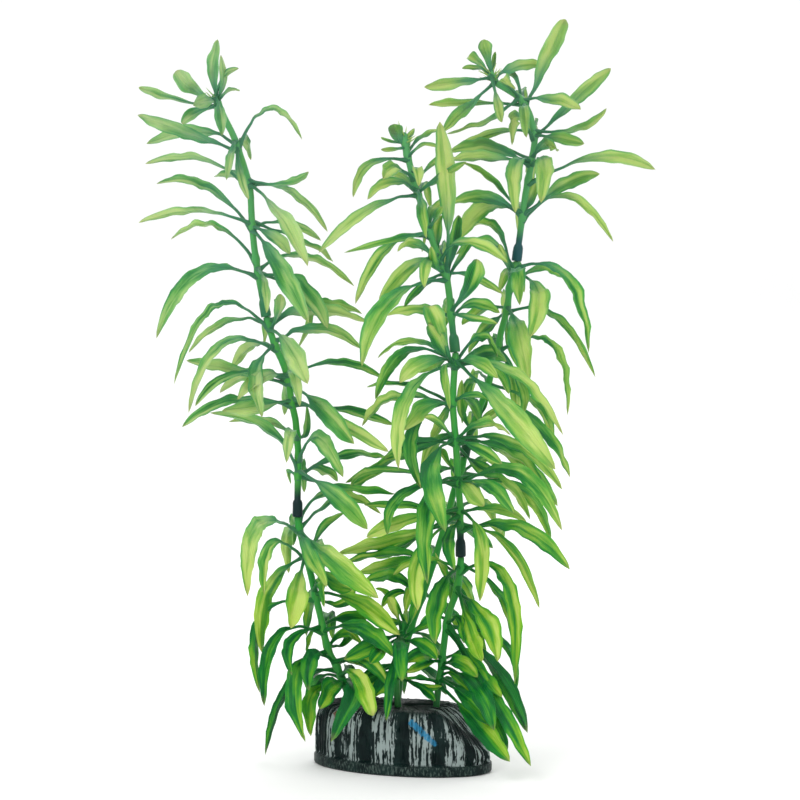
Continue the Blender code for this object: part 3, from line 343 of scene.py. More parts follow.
FRONT_TOP_PATH = (
    (1, 288, -4), (2, 281, -4), (4.2, 272, -5), (6, 265, -5), (8, 259, -6), (10.3, 250, -6),
    (12.8, 243, -7), (15.2, 236, -7), (17.6, 230, -8), (20, 224, -8), (21.4, 215, -9),
    (22.3, 205, -9), (24, 190, -10),
)
FRONT_TOP_LEAVES = (
    (284, (
        (-2.5, 288.5, -3.5, 293, -2, 7), (-5, 285, -9.5, 287, 3, 2),
        (-4, 281.5, -9.5, 281.5, -5, 2), (3, 287, 5.5, 291, 4, 2.5),
    )),
    (279, (
        (-15, 274.5, -22, 260, -6, 3.8), (9, 287, 20, 291, 8, 2.5),
        (9, 283, 19, 282, -6, 2.5), (2, 287, 2, 282, 22, 4),
    )),
    (270, (
        (-3, 273, -8.5, 270.5, -14, 6.5), (6.5, 273, 7.5, 267.5, -10, 4.5),
    )),
    (262, (
        (1, 268, -4.5, 270, 6, 4.5), (-4, 267, -15.5, 259, -12, 5),
        (-15, 254.5, -37.5, 235, -6, 4.8), (14, 275, 27, 277, 8, 3),
        (17, 269, 29, 276, -8, 3), (10, 266, 13, 260, 24, 3),
        (9, 256, 11, 246, -20, 5),
    )),
    (244, (
        (-6, 238, -21, 212, 6, 4.8), (0, 241.5, -26, 235, -8, 3.5),
        (14, 254, 24, 260.5, 8, 5), (15.5, 251, 18, 256, -8, 3),
        (12, 247, 9, 243, 22, 3),
    )),
    (232, (
        (6, 239, -2, 235.5, -8, 5.5), (4, 229, -10.5, 213, 8, 6.8),
        (28, 240, 47.5, 230.5, -8, 5.5), (11, 230, 10, 224, -16, 5), (15.5, 243, 18, 252, 6, 4.5),
        (18, 238, 20, 234, 22, 5),
    )),
    (225, (
        (-4, 214, -18, 184, -12, 9), (9, 220, 1, 210.5, 8, 3.5), (23.5, 239, 25.5, 252, 8, 5),
        (15, 229, 13, 238, -8, 4.5),
        (20.5, 256, 17, 294, -6, 8.8), (27, 234, 32, 241, 6, 3),
        (32, 224, 45.5, 216.5, 8, 3.5),
    )),
    (207, (
        (31, 212, 44, 208, 6, 5), (31, 206, 43, 203, -6, 3.5),
        (9, 209.5, -8, 206.5, 10, 5.5), (29.8, 219, 34, 232, -10, 8),
        (21, 212, 19, 208, 22, 5),
    )),
)

FRONT_MIDDLE_PATH = (
    (24, 190, -10), (23.8, 185, -10), (23.2, 176, -10), (22.9, 167, -10), (23.5, 158, -10),
    (24.2, 150, -10), (24.8, 140, -10), (25.3, 131, -10), (26, 122, -10), (26.2, 112, -10),
    (26.5, 98, -10),
)
FRONT_MIDDLE_LEAVES = (
    (185, (
        (17, 199, 12.5, 211, -16, 9), (2, 190.5, -12, 169, 6, 5.5),
        (6, 195.5, -11, 187.5, 14, 2.5), (9, 185.5, -1, 176.5, -8, 7),
        (3, 171, -1.5, 137.5, -16, 7), (19, 182, 21.5, 168, -18, 3.5),
        (34, 186, 43, 178.5, -8, 6), (17, 194, 12, 203, -12, 7), (15, 186, 6, 181.5, 10, 6.5),
        (39, 183.5, 48, 171.5, 8, 6),
        (50, 181, 72.5, 153, -4, 5.5), (46, 165, 69, 137.5, -14, 10),
        (35, 197, 43, 188, 6, 4.5), (37, 190, 47, 186, 14, 7),
    )),
    (168, (
        (-2, 170.5, -18, 157, 6, 5), (5, 155, 8.5, 129, -10, 6),
        (3, 175.5, -16, 174.5, 14, 3), (18, 160, 13, 150, 10, 4.5),
        (31, 171, 40, 168, -6, 3.5),
        (11, 166, 1, 155, -8, 7.5), (31, 168, 35, 159, 10, 5),
    )),
    (151, (
        (6, 149.5, -8, 142, 8, 5.5), (13, 137, 19.5, 109.5, -18, 9.5),
        (17, 158, 10, 161, -6, 3.5), (-2, 143, -25.5, 131.5, 12, 4.5),
        (50, 149.5, 72, 128.5, -6, 5.5), (46, 146.5, 63, 131.5, 8, 8),
        (50, 143, 70, 121, 14, 7),
        (37, 158.5, 49, 153, -10, 5.5), (15, 149.5, 8.5, 135, 12, 5), (34, 147, 45, 140, -12, 5),
        (33.5, 139.5, 42, 137, 10, 5.5),
    )),
    (132, (
        (51.5, 136.5, 72, 110, -8, 6.8), (44, 133, 57.5, 115, 6, 5.5),
        (53, 129, 67, 105, 10, 5), (20, 142, 15.5, 146.5, 6, 3.5),
        (0, 126, -6.5, 108, -10, 5), (-8, 137.5, -23, 130, 8, 3.5),
        (13, 124, 11.5, 86, -20, 8.5), (39, 130, 50.5, 117.5, -16, 6.5),
        (30.5, 128.5, 37, 121, -8, 8),
    )),
    (119, (
        (4, 121, -17, 121.5, 6, 3.5), (3, 115, -16, 107, -8, 6.5),
        (42, 120, 56, 114, 8, 4.5), (36, 122, 42, 116, 16, 5),
        (35.5, 106, 35, 78, -14, 7), (9, 100, 7, 74, -20, 7.5),
    )),
    (112, (
        (52, 111.5, 75.5, 92.5, -4, 7), (48, 103, 61.8, 75, 8, 4.4),
        (42, 112, 45, 105, 14, 4),
        (21, 106, 23.5, 95, -18, 5.5),
    )),
)

FRONT_BASE_PATH = (
    (26.5, 98, -10), (26.3, 94, -10), (25.5, 88, -9), (24, 81, -9), (21.5, 74, -8),
    (20, 67, -8), (18.8, 58, -7), (17.9, 50, -7), (16.8, 43, -6), (16, 36, -6),
)
FRONT_BASE_LEAVES = (
    (93, (
        (46.3, 88.3, 50.7, 41, -6, 6), (17.5, 83, 15, 59, -16, 8.5),
        (12, 97, -4, 90, 10, 5), (44, 81, 50, 58, 10, 4),
    )),
    (85, (
        (36.5, 71, 43, 51, -14, 9),
        (30, 66, 36, 51, -20, 7), (19, 91, 15, 100, 8, 2.5), (29.5, 76, 38, 55, 8, 4.5),
        (23, 90, 22, 84, 22, 5),
    )),
    (68, (
        (40.5, 49.5, 56.5, 19, 6, 7.5), (41, 35.5, 58, 4, -22, 6.5),
        (46, 59, 51, 37, 14, 3.5), (14, 71, 8, 66, 8, 4),
        (26, 70, 28, 62, -14, 4), (34, 48, 45, 35, -12, 6),
    )),
    (51, (
        (33, 40, 41.5, 20, -18, 8), (27, 55, 38, 52, 8, 4),
        (26, 50.5, 34, 44, -10, 6.5), (9.5, 53.5, 2.5, 50.5, -8, 7.5),
        (10, 50, 2, 46, -8, 4),
    )),
    (43, (
        (31.5, 26, 48.5, 6, -24, 8.5), (37, 31, 47.5, 11, -14, 5),
        (9, 43, 1, 44, -10, 2.5), (24, 45, 31, 37.5, -6, 4), (28, 35.5, 40, 22, -16, 7),
        (22, 43, 28, 39, 12, 3),
    )),
)

REAR_TOP_PATH = (
    (39.5, 316, 22), (42.5, 311.5, 22), (48, 308, 22), (53.5, 304, 22), (57.5, 297, 22),
    (59.6, 287, 22), (58.6, 278, 22), (57, 269, 22), (55.3, 260, 22), (54, 250, 22),
    (52.8, 241, 22), (51.5, 231, 22),
)
REAR_TOP_LEAVES = (
    (314, (
        (38, 324, 37, 331, 0, 6.5), (41, 320, 42, 325.5, 4, 2),
        (34, 321, 30, 323.5, 6, 5), (33, 318.5, 27, 318, -6, 2.5),
        (25, 311.5, 10, 309.5, -4, 5.5), (29, 300, 18.5, 289.5, -10, 5.5),
        (43, 303, 45, 294, -14, 4.5), (52, 318.8, 64, 319, 6, 6.5),
    )),
    (303, (
        (64, 319.5, 73.5, 340, 4, 8), (67, 304, 80.5, 299.5, -6, 7.8),
        (33, 302.3, 12, 301.5, 8, 4.2), (38, 294.5, 20, 288.5, -8, 3.5),
        (50, 315, 43.5, 316, 8, 3.5), (55, 299, 56, 293, -16, 5), (46, 313, 51, 308.5, -8, 5),
        (54, 308, 55, 303, 22, 5),
    )),
    (288, (
        (51, 296.5, 49.5, 283.5, -10, 5.5), (44, 289.5, 24, 282, 10, 3.5),
        (79, 305, 94, 318, 6, 6.5), (79, 290.8, 92, 300, -4, 3.8),
        (70, 286.5, 82, 284, -10, 6), (60, 293, 60, 287, 24, 5),
    )),
    (276, (
        (40, 282.5, 21.5, 280.5, 6, 7), (44, 281, 32, 277, 14, 4.5), (40, 278, 22, 276.5, -6, 6),
        (65, 284, 70, 281, -10, 6),
        (51, 274, 51, 253, -12, 7.5), (63.8, 276, 62.5, 257.5, -14, 8),
    )),
    (268, (
        (88, 278, 114, 272.5, -4, 5.8), (58, 274, 58, 267, 24, 5),
    )),
    (251, (
        (71, 264.5, 89, 270.5, 8, 6.5), (75.5, 259.5, 95, 240, -6, 4.5),
        (43, 265, 27.5, 275.5, 10, 4), (37.5, 259.8, 21, 256.8, -4, 7),
        (39, 256, 24.5, 240, 4, 8.5), (53, 257, 52, 250, 24, 5), (58.5, 261, 61, 269, 6, 5),
    )),
)

REAR_MIDDLE_PATH = (
    (51.5, 231, 22), (50.3, 227, 22), (48.5, 220, 22), (47.3, 210, 21), (44.5, 199, 21),
    (42.5, 190, 20), (38.5, 175, 20), (33, 160, 19), (30, 152, 18), (28, 143, 17),
)
REAR_MIDDLE_LEAVES = (
    (226, (
        (41.5, 246.5, 27, 243.5, 8, 5.5), (40, 239.5, 24, 234, -8, 5),
        (46, 233, 43.5, 239, -10, 3.5), (73.5, 224.5, 84, 190, -6, 6),
        (61.3, 217.5, 57.7, 197, -16, 9.2), (52, 226, 53, 218, -20, 7),
        (47, 226, 44, 221, 12, 4), (52, 229, 55, 224, 24, 4),
    )),
    (219, (
        (62, 228, 78, 219, 10, 4.5),
    )),
    (210, (
        (69, 206.5, 87, 179, 4, 3.6), (52.5, 199, 57, 177, -18, 10), (48.5, 198, 53.5, 182, 12, 5.5),
        (47, 216, 46, 209, 24, 5), (37, 209.5, 27, 202.5, 10, 6.5), (40, 203, 33, 198.5, 14, 5.5),
    )),
    (192, (
        (66.5, 194.5, 74.5, 162, -4, 4.8), (50, 178, 51.5, 153, 8, 4.5),
        (54, 175, 54.5, 163, -10, 4.5), (36, 198, 30, 190, 12, 4),
        (43, 197, 43, 189, 24, 5),
    )),
    (175, (
        (62, 156.5, 75.5, 134, -8, 5.8), (60, 167, 68, 150, 8, 4.5),
        (30, 176, 27, 158, 10, 4.5), (33, 180, 30, 172, 22, 4),
    )),
    (156, (
        (40, 162, 46.5, 163, -6, 5), (27, 163, 27, 178, 8, 4),
        (36, 165, 37, 172, 6, 3.5), (32, 162, 33, 154, 24, 5),
    )),
)

REAR_BASE_PATH = (
    (28, 143, 17), (26.8, 138, 17), (24, 130, 16), (20, 115, 15), (15, 98, 14), (9, 80, 12),
    (4, 66, 10), (0, 50, 9), (-1.5, 37, 8),
)
REAR_BASE_LEAVES = (
    (137, (
        (38, 143, 44, 134, 10, 5), (16, 137, 8, 131, 10, 4),
        (47, 131, 61, 118, 16, 5), (25, 142, 24, 134, 24, 5),
    )),
    (115, (
        (-3, 106.3, -29, 99.5, 4, 6.5), (0, 103.5, -13, 98.5, 14, 6.5),
        (30, 111, 41, 102, 14, 5), (22, 121, 23, 113, 24, 5),
    )),
    (98, (
        (-4, 100, -28, 94.5, 6, 5.5), (0, 95.3, -19.5, 91, 14, 6.5),
        (27, 88, 32, 76, 14, 5), (12, 102, 10, 95, 24, 5),
    )),
    (80, (
        (-3, 89, -18, 85.5, 8, 6.5), (3.5, 83, 1.5, 73, -10, 4.5), (-2, 82, -9, 75.5, -4, 4),
        (21, 74, 28, 62, 14, 5), (8, 86, 7, 78, 24, 5),
    )),
    (66, (
        (-4, 78, -12, 84, 6, 3), (-6, 69, -12, 68.5, -6, 5),
        (14, 60, 19, 50, 16, 5), (3, 72, 2, 64, 24, 5),
    )),
    (48, (
        (11, 47, 20, 36, 14, 5), (-11, 47, -19, 34, 14, 5), (0, 53, 1, 40, 24, 5),
    )),
)

SHORT_SPRIG_PATH = (
    (1, 68, -7), (-1, 60, -7), (-2.3, 50, -6), (-2.6, 42, -6), (-2, 34, -6),
)
SHORT_SPRIG_LEAVES = (
    (63, (
        (9, 59, 16, 52, -10, 6), (-12, 59, -26, 52, -6, 7.5), (-9, 56.5, -14.5, 52, -14, 6),
        (-4.5, 44, -7, 24.5, -20, 4.5), (-1, 57, 0, 47, -24, 7),
        (6, 76, 8, 92, -6, 5), (-3, 74, -6, 80, -6, 4),
        (11, 68, 15, 76, -4, 5),
    )),
    (46, (
        (-12, 46, -20, 38, -10, 5.5), (8, 40, 18, 40, -8, 3),
        (9, 39, 15, 34, -14, 3), (-12, 43, -22, 35, -4, 5), (-8, 41, -13, 35, -10, 6.5),
    )),
)

# Name, path, leaf rings, whether a sprig plugs in on top, and whether the lower end is a socket
SPRIGS = (
    ("left_stem_base", LEFT_BASE_PATH, LEFT_BASE_LEAVES, LEFT_MIDDLE_PATH, False),
    ("left_stem_middle", LEFT_MIDDLE_PATH, LEFT_MIDDLE_LEAVES, LEFT_TOP_PATH, True),
    ("left_stem_top", LEFT_TOP_PATH, LEFT_TOP_LEAVES, None, True),
    ("front_stem_base", FRONT_BASE_PATH, FRONT_BASE_LEAVES, FRONT_MIDDLE_PATH, False),
    ("front_stem_middle", FRONT_MIDDLE_PATH, FRONT_MIDDLE_LEAVES, FRONT_TOP_PATH, True),
    ("front_stem_top", FRONT_TOP_PATH, FRONT_TOP_LEAVES, None, True),
    ("rear_stem_base", REAR_BASE_PATH, REAR_BASE_LEAVES, REAR_MIDDLE_PATH, False),
    ("rear_stem_middle", REAR_MIDDLE_PATH, REAR_MIDDLE_LEAVES, REAR_TOP_PATH, True),
    ("rear_stem_top", REAR_TOP_PATH, REAR_TOP_LEAVES, None, True),
    ("short_sprig", SHORT_SPRIG_PATH, SHORT_SPRIG_LEAVES, None, False),
)

# Tones, from the deepest green to the lightest
TEAL = -0.25
DARK = 0.05
MID = 0.38
OLIVE = 0.52
LIME = 0.72
BRIGHT = 1.15
YELLOW = 0.98
PALE = 0.84

# Leaves that stand out in colour: the places of their tips (across, up), by tone
TONES = {
    TEAL: (
        (-40.5, 36), (-61.5, 7), (-32, 15), (1, 210.5), (56, 18.5), (24, 252),
    ),
    DARK: (
        (-8, 178), (-4, 157.5), (-43, 167), (-87, 162.5), (-16, 123), (-26, 118), (-64, 37),
        (-62, 31), (-49.5, 45), (-3.5, 53), (-42, 38), (-42, 24), (34, 232), (43, 188), (47, 186),
        (8.5, 129), (40, 168), (-8, 142.5), (19.5, 109.5), (11.5, 86), (-6.5, 108), (50.5, 117.5),
        (11, 58), (49.5, 52), (51, 37), (28, 62), (41.5, 20), (40, 22), (47.5, 11), (43.5, 316),
        (-28, 94.5), (-26, 52), (-7, 24.5), (37, 331), (-3, 294),
    ),
    MID: (
        (-83, 331), (-43.5, 15), (50, 58), (58, 4), (45, 35), (48.5, 6), (30, 323.5),
    ),
    OLIVE: (
        (-101.5, 317), (-115, 284), (-47, 192), (-73, 318),
    ),
    LIME: (
        (-42.5, 176), (-63, 55), (-10.5, 79.5), (-1, 63), (-41, 17.5), (-22, 260), (-8.5, 270.5),
        (-15.5, 259), (24, 260.5), (-2, 235.5), (-10.5, 213), (10, 224), (47.5, 230.5), (-8, 206.5),
        (-1, 177), (-1.5, 137.5), (15.5, 146.5), (57.5, 115), (56, 114), (45, 105), (35, 78),
        (-16, 107), (7, 74), (50, 47), (36, 51), (45, 294), (80.5, 300), (49.5, 283.5), (63, 258),
        (51, 253), (58, 197), (72.5, 153), (69, 137.5), (58.5, 177), (-37.5, 235), (73.5, 340),
        (94.5, 318),
    ),
    BRIGHT: (
        (-13, 28.5),
    ),
    YELLOW: (
        (-42.5, 229), (-76.5, 182), (-74, 169), (-50, 66), (7.5, 267.5), (-6, 80),
    ),
    PALE: (
        (-15, 204), (-19, 219), (-80, 170), (-6, 145.5), (-69.5, 80), (-51, 92), (17.5, 294),
        (13, 150), (62.5, 74), (114.5, 272.5), (24.5, 240), (44, 221), (51.5, 153), (46.5, 163),
        (-29, 99.5),
    ),
}
SAME_TIP = 3.5
LOWEST_TONE = 0.20
TONE_RISE = 0.38
TONE_SPREAD = 0.60

# Places of the plastics in a sprig's list of materials, and the angle that is shaded as an edge
LEAF_PLASTIC = 0
STEM_PLASTIC = 1
SHARP_ANGLE = math.radians(62)

# Dabs of paint on the foot's front: both ends (across, up) with the radius at each, in millimetres
BLUE_DAB = ((4.4, 23.4), (14.6, 14.0), 1.5, 1.1)
BROWN_DAB = ((-29.2, 27.4), (-28.8, 24.2), 1.6, 1.3)
PALE_DAB = ((-29.2, 21.8), (-28.6, 20.4), 0.9, 0.7)
DABS = (BLUE_DAB, BROWN_DAB, PALE_DAB)
DAB_RAG = 0.55
DAB_RAG_SCALE = 1.1
DAB_RAG_LANE = 5
DAB_EDGE = 0.4

# Materials. A range reads: from, to, and what it gives at its two ends, 0 and 1 where they are
# left out. A grain reads: scale, detail, and the stretch where there is one. Heights are in
# metres, colours are linear, and a ramp is a list of a position and a colour.
MIX_SHARE = 0
MIX_COLOURS = (6, 7)
MIX_RESULT = 2

# What makes a leaf lighter or darker
STREAK_GRAIN = (1.0, 1.0)
FINE_STREAK_GRAIN = (3.7, 2.0)
# Streaks along the blade, lighter and darker: partly the plastic's own streaky colour, partly painted
# highlights.
STREAK_AND_HIGHLIGHT_LIGHT = (0.30, 0.70, -0.25, 0.25)
FINE_STREAK_AND_HIGHLIGHT_LIGHT = (0.30, 0.70, -0.06, 0.06)
TONE_LIGHT = (0.58, 0.20)
# One half of each folded blade darker and the other lighter: painted shade and light on the fold.
HALVES_SHADE_AND_LIGHT = (-0.30, 0.30, -0.13, 0.08)
EDGE_LIGHT = (0.62, 1.0, 0.07, -0.16)
RIB_LIGHT = (0.02, 0.16, -0.13, 0.0)
LENGTH_LIGHT = (0.30, 0.95, -0.13, 0.19)
LEFT_LIGHT = 0.03
HEIGHT_LIGHT = (0.025, 0.080, -0.17, 0.04)
PETIOLE_LIGHT = (0.0, 0.4, 0.10, 0.02)
BLADE_FROM_PETIOLE = (0.10, 0.42)
LEAF_RAMP = (
    (0.0, (0.004, 0.110, 0.024)), (0.20, (0.011, 0.195, 0.026)), (0.46, (0.070, 0.315, 0.022)),
    (0.74, (0.245, 0.450, 0.032)), (1.0, (0.480, 0.610, 0.120)),
)

# Where a leaf is cooler, more olive or browner, and where a painted sheen makes it paler
LEFT_PART = (-0.045, -0.005, 1.0, 0.0)
LEFT_PART_HEIGHT = (0.06, 0.13)
COOL_HEIGHT = (0.09, 0.26)
COOL_LEFT_SHARE = 0.85
COOL_EDGE = (0.55, 1.0, 0.0, 0.45)
COOL_PETIOLE = (0.20, 0.70, 0.85, 0.0)
COOL_GREENS = ((0.028, 0.165, 0.085), (0.060, 0.270, 0.145))
COOL_GREENS_ALONG = (0.0, 0.35)
HIGH_GREENS = ((0.25, 0.29, 0.10), (0.085, 0.25, 0.13))
HIGH_GREENS_HEIGHT = (0.22, 0.30, 0.0, 0.34)
# A pale greyish green mixed in higher up and on the left, most on the lighter parts: a painted sheen.
SHEEN_HEIGHT = (0.05, 0.15)
SHEEN_LEFT_SHARE = 0.10
SHEEN_HEIGHT_SHARE = 0.09
SHEEN_BY_LIGHTNESS = (0.15, 0.85, 0.35, 2.1)
PAINTED_SHEEN_GREEN = (0.40, 0.52, 0.36)
TIP_PART = (0.93, 1.0)
TIP_SHARE = 0.40
TIP_BROWN = (0.36, 0.30, 0.15)

# The leaf's surface
LEAF_GRAIN = (900, 4.0)
LEAF_ROUGHNESS = (0.3, 0.7, 0.30, 0.42)
VEINS = 30.0
VEIN_SHARE = 0.5
LEAF_RELIEF = (0.00012, 0.8)
LEAF_LOOK = {
    "Subsurface_Weight": 0.35, "Subsurface_Radius": (0.6, 1.0, 0.2), "Subsurface_Scale": 0.0010,
    "IOR": 1.45, "Specular_IOR_Level": 0.18,
}

# Stem plastic
STEM_HEIGHT = (0.03, 0.31)
STEM_RAMP = (
    (0.0, (0.022, 0.260, 0.042)), (0.45, (0.030, 0.280, 0.044)), (1.0, (0.085, 0.320, 0.115)),
)
SOCKET_HEIGHT = (0.15, 0.22)
SOCKET_RAMP = ((0.0, (0.003, 0.020, 0.020)), (1.0, (0.012, 0.075, 0.080)))
STEM_STREAK_GRAIN = (350, 3.0, (1, 1, 0.15))
STEM_STREAKS = (0.4, 0.75, 0.0, 0.40)
STEM_STREAK_GREEN = (0.12, 0.36, 0.05)
STEM_ROUGHNESS = (0.3, 0.7, 0.32, 0.46)
STEM_GRAIN = (1400, 4.0, (1, 1, 0.3))
STEM_RELIEF = (0.00008, 0.7)
STEM_LOOK = {
    "Subsurface_Weight": 0.15, "Subsurface_Radius": (0.5, 1.0, 0.3), "Subsurface_Scale": 0.001,
    "IOR": 1.45, "Specular_IOR_Level": 0.22,
}

# The foot's paint
CLOUD_GRAIN = (150, 3.0)
SPECK_GRAIN = (1500, 4.0, (1, 1, 0.35))
PIT_GRAIN = (500, 3.0)
BLACKS = ((0.0020, 0.0085, 0.0085), (0.0070, 0.0210, 0.0190))
BLACK_CLOUDS = (0.35, 0.7)
BRUSHED_SPECKS = (0.25, 0.75, -0.22, 0.20)
BRUSHED_LUMPS = (-0.6, 0.3, -0.50, 0.10)
BRUSHED_CLOUDS = (0.35, 0.65, -0.14, 0.14)
BRUSHED_CRESTS = (0.46, 0.74)
RIM_HEIGHT = (0.0040, 0.0055, 1.0, 0.0)
RIM_SPECKS = (0.48, 0.66, 0.0, 0.75)
RIM_GREY = (0.075, 0.110, 0.095)
BRUSHED_GREY = (0.27, 0.33, 0.32)
BROWN_SHARE = 0.85
BROWN_PAINT = (0.16, 0.035, 0.018)
PALE_SHARE = 0.8
PALE_PAINT = (0.14, 0.36, 0.46)
BLUE_SPECKS = (0.3, 0.6, 0.0, 0.6)
BLUE_STRANDS = (0.1, 0.7, 0.1, 0.5)
BLUE_PAINT = (0.026, 0.205, 0.370)
FOOT_ROUGHNESS = (0.0, 1.0, 0.42, 0.62)
FOOT_RELIEF = (0.00022, 0.8)
FOOT_LOOK = {"IOR": 1.35, "Specular_IOR_Level": 0.2}

# Floor and backdrop, in metres: one sheet that curves up behind the plant
PAPER_WHITE = (0.95, 0.95, 0.95)
PAPER_LOOK = {"Roughness": 0.9, "Specular_IOR_Level": 0.0}
FLOOR_FRONT = -1.6
FLOOR_BACK = 0.9
BEND_RADIUS = 0.6
BEND_STEPS = 16
BACKDROP_TOP = 2.4
HALF_PAPER = 3.0

# Lights: name, place from the front view's own axes, size in metres and watts
LIGHT_AIM = Vector((0, 0, 0.17))
LIGHTS = (
    ("key", (-0.7, -0.9, 1.1), 0.8, 7), ("fill", (0.95, -0.8, 0.6), 0.9, 2.5),
    ("back", (0.2, 0.8, 0.9), 1.0, 4),
)
WORLD_STRENGTH = 0.9


def seen(across, up, away):
    """The world place of a point read from the front view, in metres."""
    spread = 1 + away / EYE_DISTANCE
    height = EYE_HEIGHT + (up - READ_ABOVE_FLOOR - EYE_HEIGHT) * spread
    place = Vector((across * spread, away, max(height, LOWEST_LEAF))) * MM
    place.rotate(Matrix.Rotation(FRONT_YAW, 3, "Z"))
    return place


def path_at(path, up):
    """The point of a stem path at this height, as across, up and away."""
    for (xa, ua, ya), (xb, ub, yb) in zip(path, path[1:]):
        if ub <= up <= ua:
            part = (ua - up) / (ua - ub)
            return xa + (xb - xa) * part, up, ya + (yb - ya) * part
    return path[0] if up > path[0][1] else path[-1]


def scatter(index, step):
    """An even spread of values from 0 to 1 over the leaves."""
    return (index * step) % 1.0


def smooth(value):
    """Rises smoothly from 0 to 1 as the value does."""
    value = max(0.0, min(1.0, value))
    return value * value * (3 - 2 * value)


class Leaf:
    """One leaf: a curve from its root on the stem through its middle to its tip."""

    def __init__(self, path, ring_up, place, values, index):
        self.path = path
        self.root_up = ring_up + ROOT_SPREAD * (scatter(place, GOLDEN_STEP) - 0.5)
        self.values = values
        self.index = index
        self.petiole = SHORTEST_PETIOLE + PETIOLE_SPREAD * scatter(index, THIRD_STEP)
        self.roll_share = LEAST_ROLL + ROLL_SPREAD * scatter(index, GOLDEN_STEP)
        self.twist = MOST_TWIST * (2 * scatter(index, SILVER_STEP) - 1)
        self.is_blunt = values[2:4] in BLUNT_TIPS
        self.swing(0)

    def swing(self, extra):
        """Settles the leaf's curve with its tip this much further away."""
        middle_across, middle_up, tip_across, tip_up, away, seen_width = self.values
        across, up, root_away = path_at(self.path, self.root_up)
        away = max(-FARTHEST, min(FARTHEST, DEPTH_SHARE * away))
        length = math.hypot(middle_across - across, middle_up - up)
        length += math.hypot(tip_across - middle_across, tip_up - middle_up)
        drop = END_ON_DROOP * max(0.0, abs(away) - length)
        away += extra
        self.root = seen(across, up, root_away)
        self.tip = seen(tip_across, tip_up - drop, root_away + away)
        middle_up += END_ON_LIFT * drop
        middle = seen(middle_across, middle_up, root_away + MIDDLE_AWAY * away)
        self.control = middle * 2 - (self.root + self.tip) / 2
        outward = self.tip - self.root
        full_width = min(LEAST_WIDTH, WIDTH_SHARE * outward.length / MM)
        self.width = max(WIDENING * seen_width, full_width)
        outward.z = 0
        self.side = UP.cross(outward).normalized()
        facing = self.facing_angle()
        shown = WIDENING * seen_width / self.width
        edge_on = math.acos(min(1.0, shown))
        held_back = max(edge_on, (1 - self.roll_share) * abs(facing))
        self.roll = facing - math.copysign(held_back, facing)
        self.turn = self.twist * shown

    def along(self, t):
        way = (self.control - self.root) * (1 - t) + (self.tip - self.control) * t
        return way.normalized()

    def facing_angle(self):
        """How far a level blade would be rolled to show its whole face in the front view."""
        along = self.along(0.5)
        normal = along.cross(self.side).normalized()
        facing = along.cross(SIGHT)
        angle = math.atan2(facing.dot(normal), facing.dot(self.side))
        if abs(angle) > math.pi / 2:
            angle -= math.copysign(math.pi, angle)
        return angle

    def frame(self, t):
        """The point at t along the leaf, its blade's sideways direction and its upper normal."""
        point = self.root * (1 - t) ** 2 + self.control * (2 * t * (1 - t)) + self.tip * t**2
        along = self.along(t)
        normal = along.cross(self.side).normalized()
        angle = (self.roll + self.turn * (t - UNTWISTED_AT)) * min(1, t / UNTWISTED_AT)
        across = self.side * math.cos(angle) + normal * math.sin(angle)
        return point, across, along.cross(across).normalized()

    def body_width(self, t, blunt_over):
        """The blade's width at t, in millimetres: widest past the middle and closed at the tip."""
        if self.is_blunt:
            rounding = max(0.0, (t - BLUNT_FROM) / blunt_over)
            return self.width * (smooth(t / BLUNT_FROM) * math.sqrt(max(0.0, 1 - rounding**2)))
        blade = max(0.0, (t - self.petiole) / (1 - self.petiole))
        return self.width * max(0.0, math.sin(math.pi * blade**WIDEST_LATE)) ** FULLNESS

    def petiole_width(self, t):
        """The petiole's width at t, in millimetres."""
        return min(PETIOLE_WIDTH, self.width) * (1 - t)

    def half_width(self, t):
        """The solid leaf's outline, in metres."""
        return 0.5 * MM * max(self.petiole_width(t), self.body_width(t, BLUNT_OVER))

    def add_to(self, shape, grow):
        """Lofts the leaf as a thin blade with a ridge below it, grown all round by this much."""
        rings = []
        stations = STATIONS[:-1] + (LAST_BLUNT_STATION,) if self.is_blunt else STATIONS
        for t in stations:
            point, across, normal = self.frame(t)
            half = self.half_width(t) + grow
            rib = RIB_DEPTH * MM * (1 - 0.5 * t) + 2 * grow
            point = point + normal * grow
            corners = (point + across * half, point - normal * rib, point - across * half)
            rings.append([shape.verts.new(corner) for corner in corners])
        tip = shape.verts.new(self.tip)
        shape.faces.new(rings[0])
        for near, far in zip(rings, rings[1:]):
            for k in range(3):
                shape.faces.new((near[k - 1], near[k], far[k], far[k - 1])[::-1])
        for k in range(3):
            shape.faces.new((tip, rings[-1][k], rings[-1][k - 1]))


def taken_tree(shape):
    """The surface of a bmesh for overlap tests. The bmesh is freed."""
    tree = BVHTree.FromBMesh(shape)
    shape.free()
    return tree


def leaf_tree(leaf):
    shape = bmesh.new()
    leaf.add_to(shape, CLEARANCE * MM)
    return taken_tree(shape)


def settle(leaf, obstacles):
    """Swings the leaf to and fro until it clears the other sprigs, or back if it never does."""
    for attempt in range(SWING_TRIES):
        leaf.swing(SWING_STEP * ((attempt + 1) // 2) * (-1) ** attempt)
        probe = leaf_tree(leaf)
        if not any(probe.overlap(tree) for tree in obstacles):
            return
    leaf.swing(0)


def bottom_of(path):
    """The lower end of a stem and the direction up from it."""
    low = seen(*path[-1])
    return low, (seen(*path[-2]) - low).normalized()


def stem_radius(up):
    """The stems thin towards their tips."""
    return STEM_RADIUS + (TOP_STEM_RADIUS - STEM_RADIUS) * up / TALLEST


def leaves_of(sprig, first_index):
    _, path, rings, _, _ = sprig
    leaves = []
    for ring_up, ring in rings:
        for place, values in enumerate(ring):
            leaves.append(Leaf(path, ring_up, place, values, first_index + len(leaves)))
    return leaves


def node_tree(node):
    """The surface of a node of the solid model."""
    shape = bmesh.new()
    shape.from_mesh(node.data)
    shape.transform(node.matrix_world)
    return taken_tree(shape)


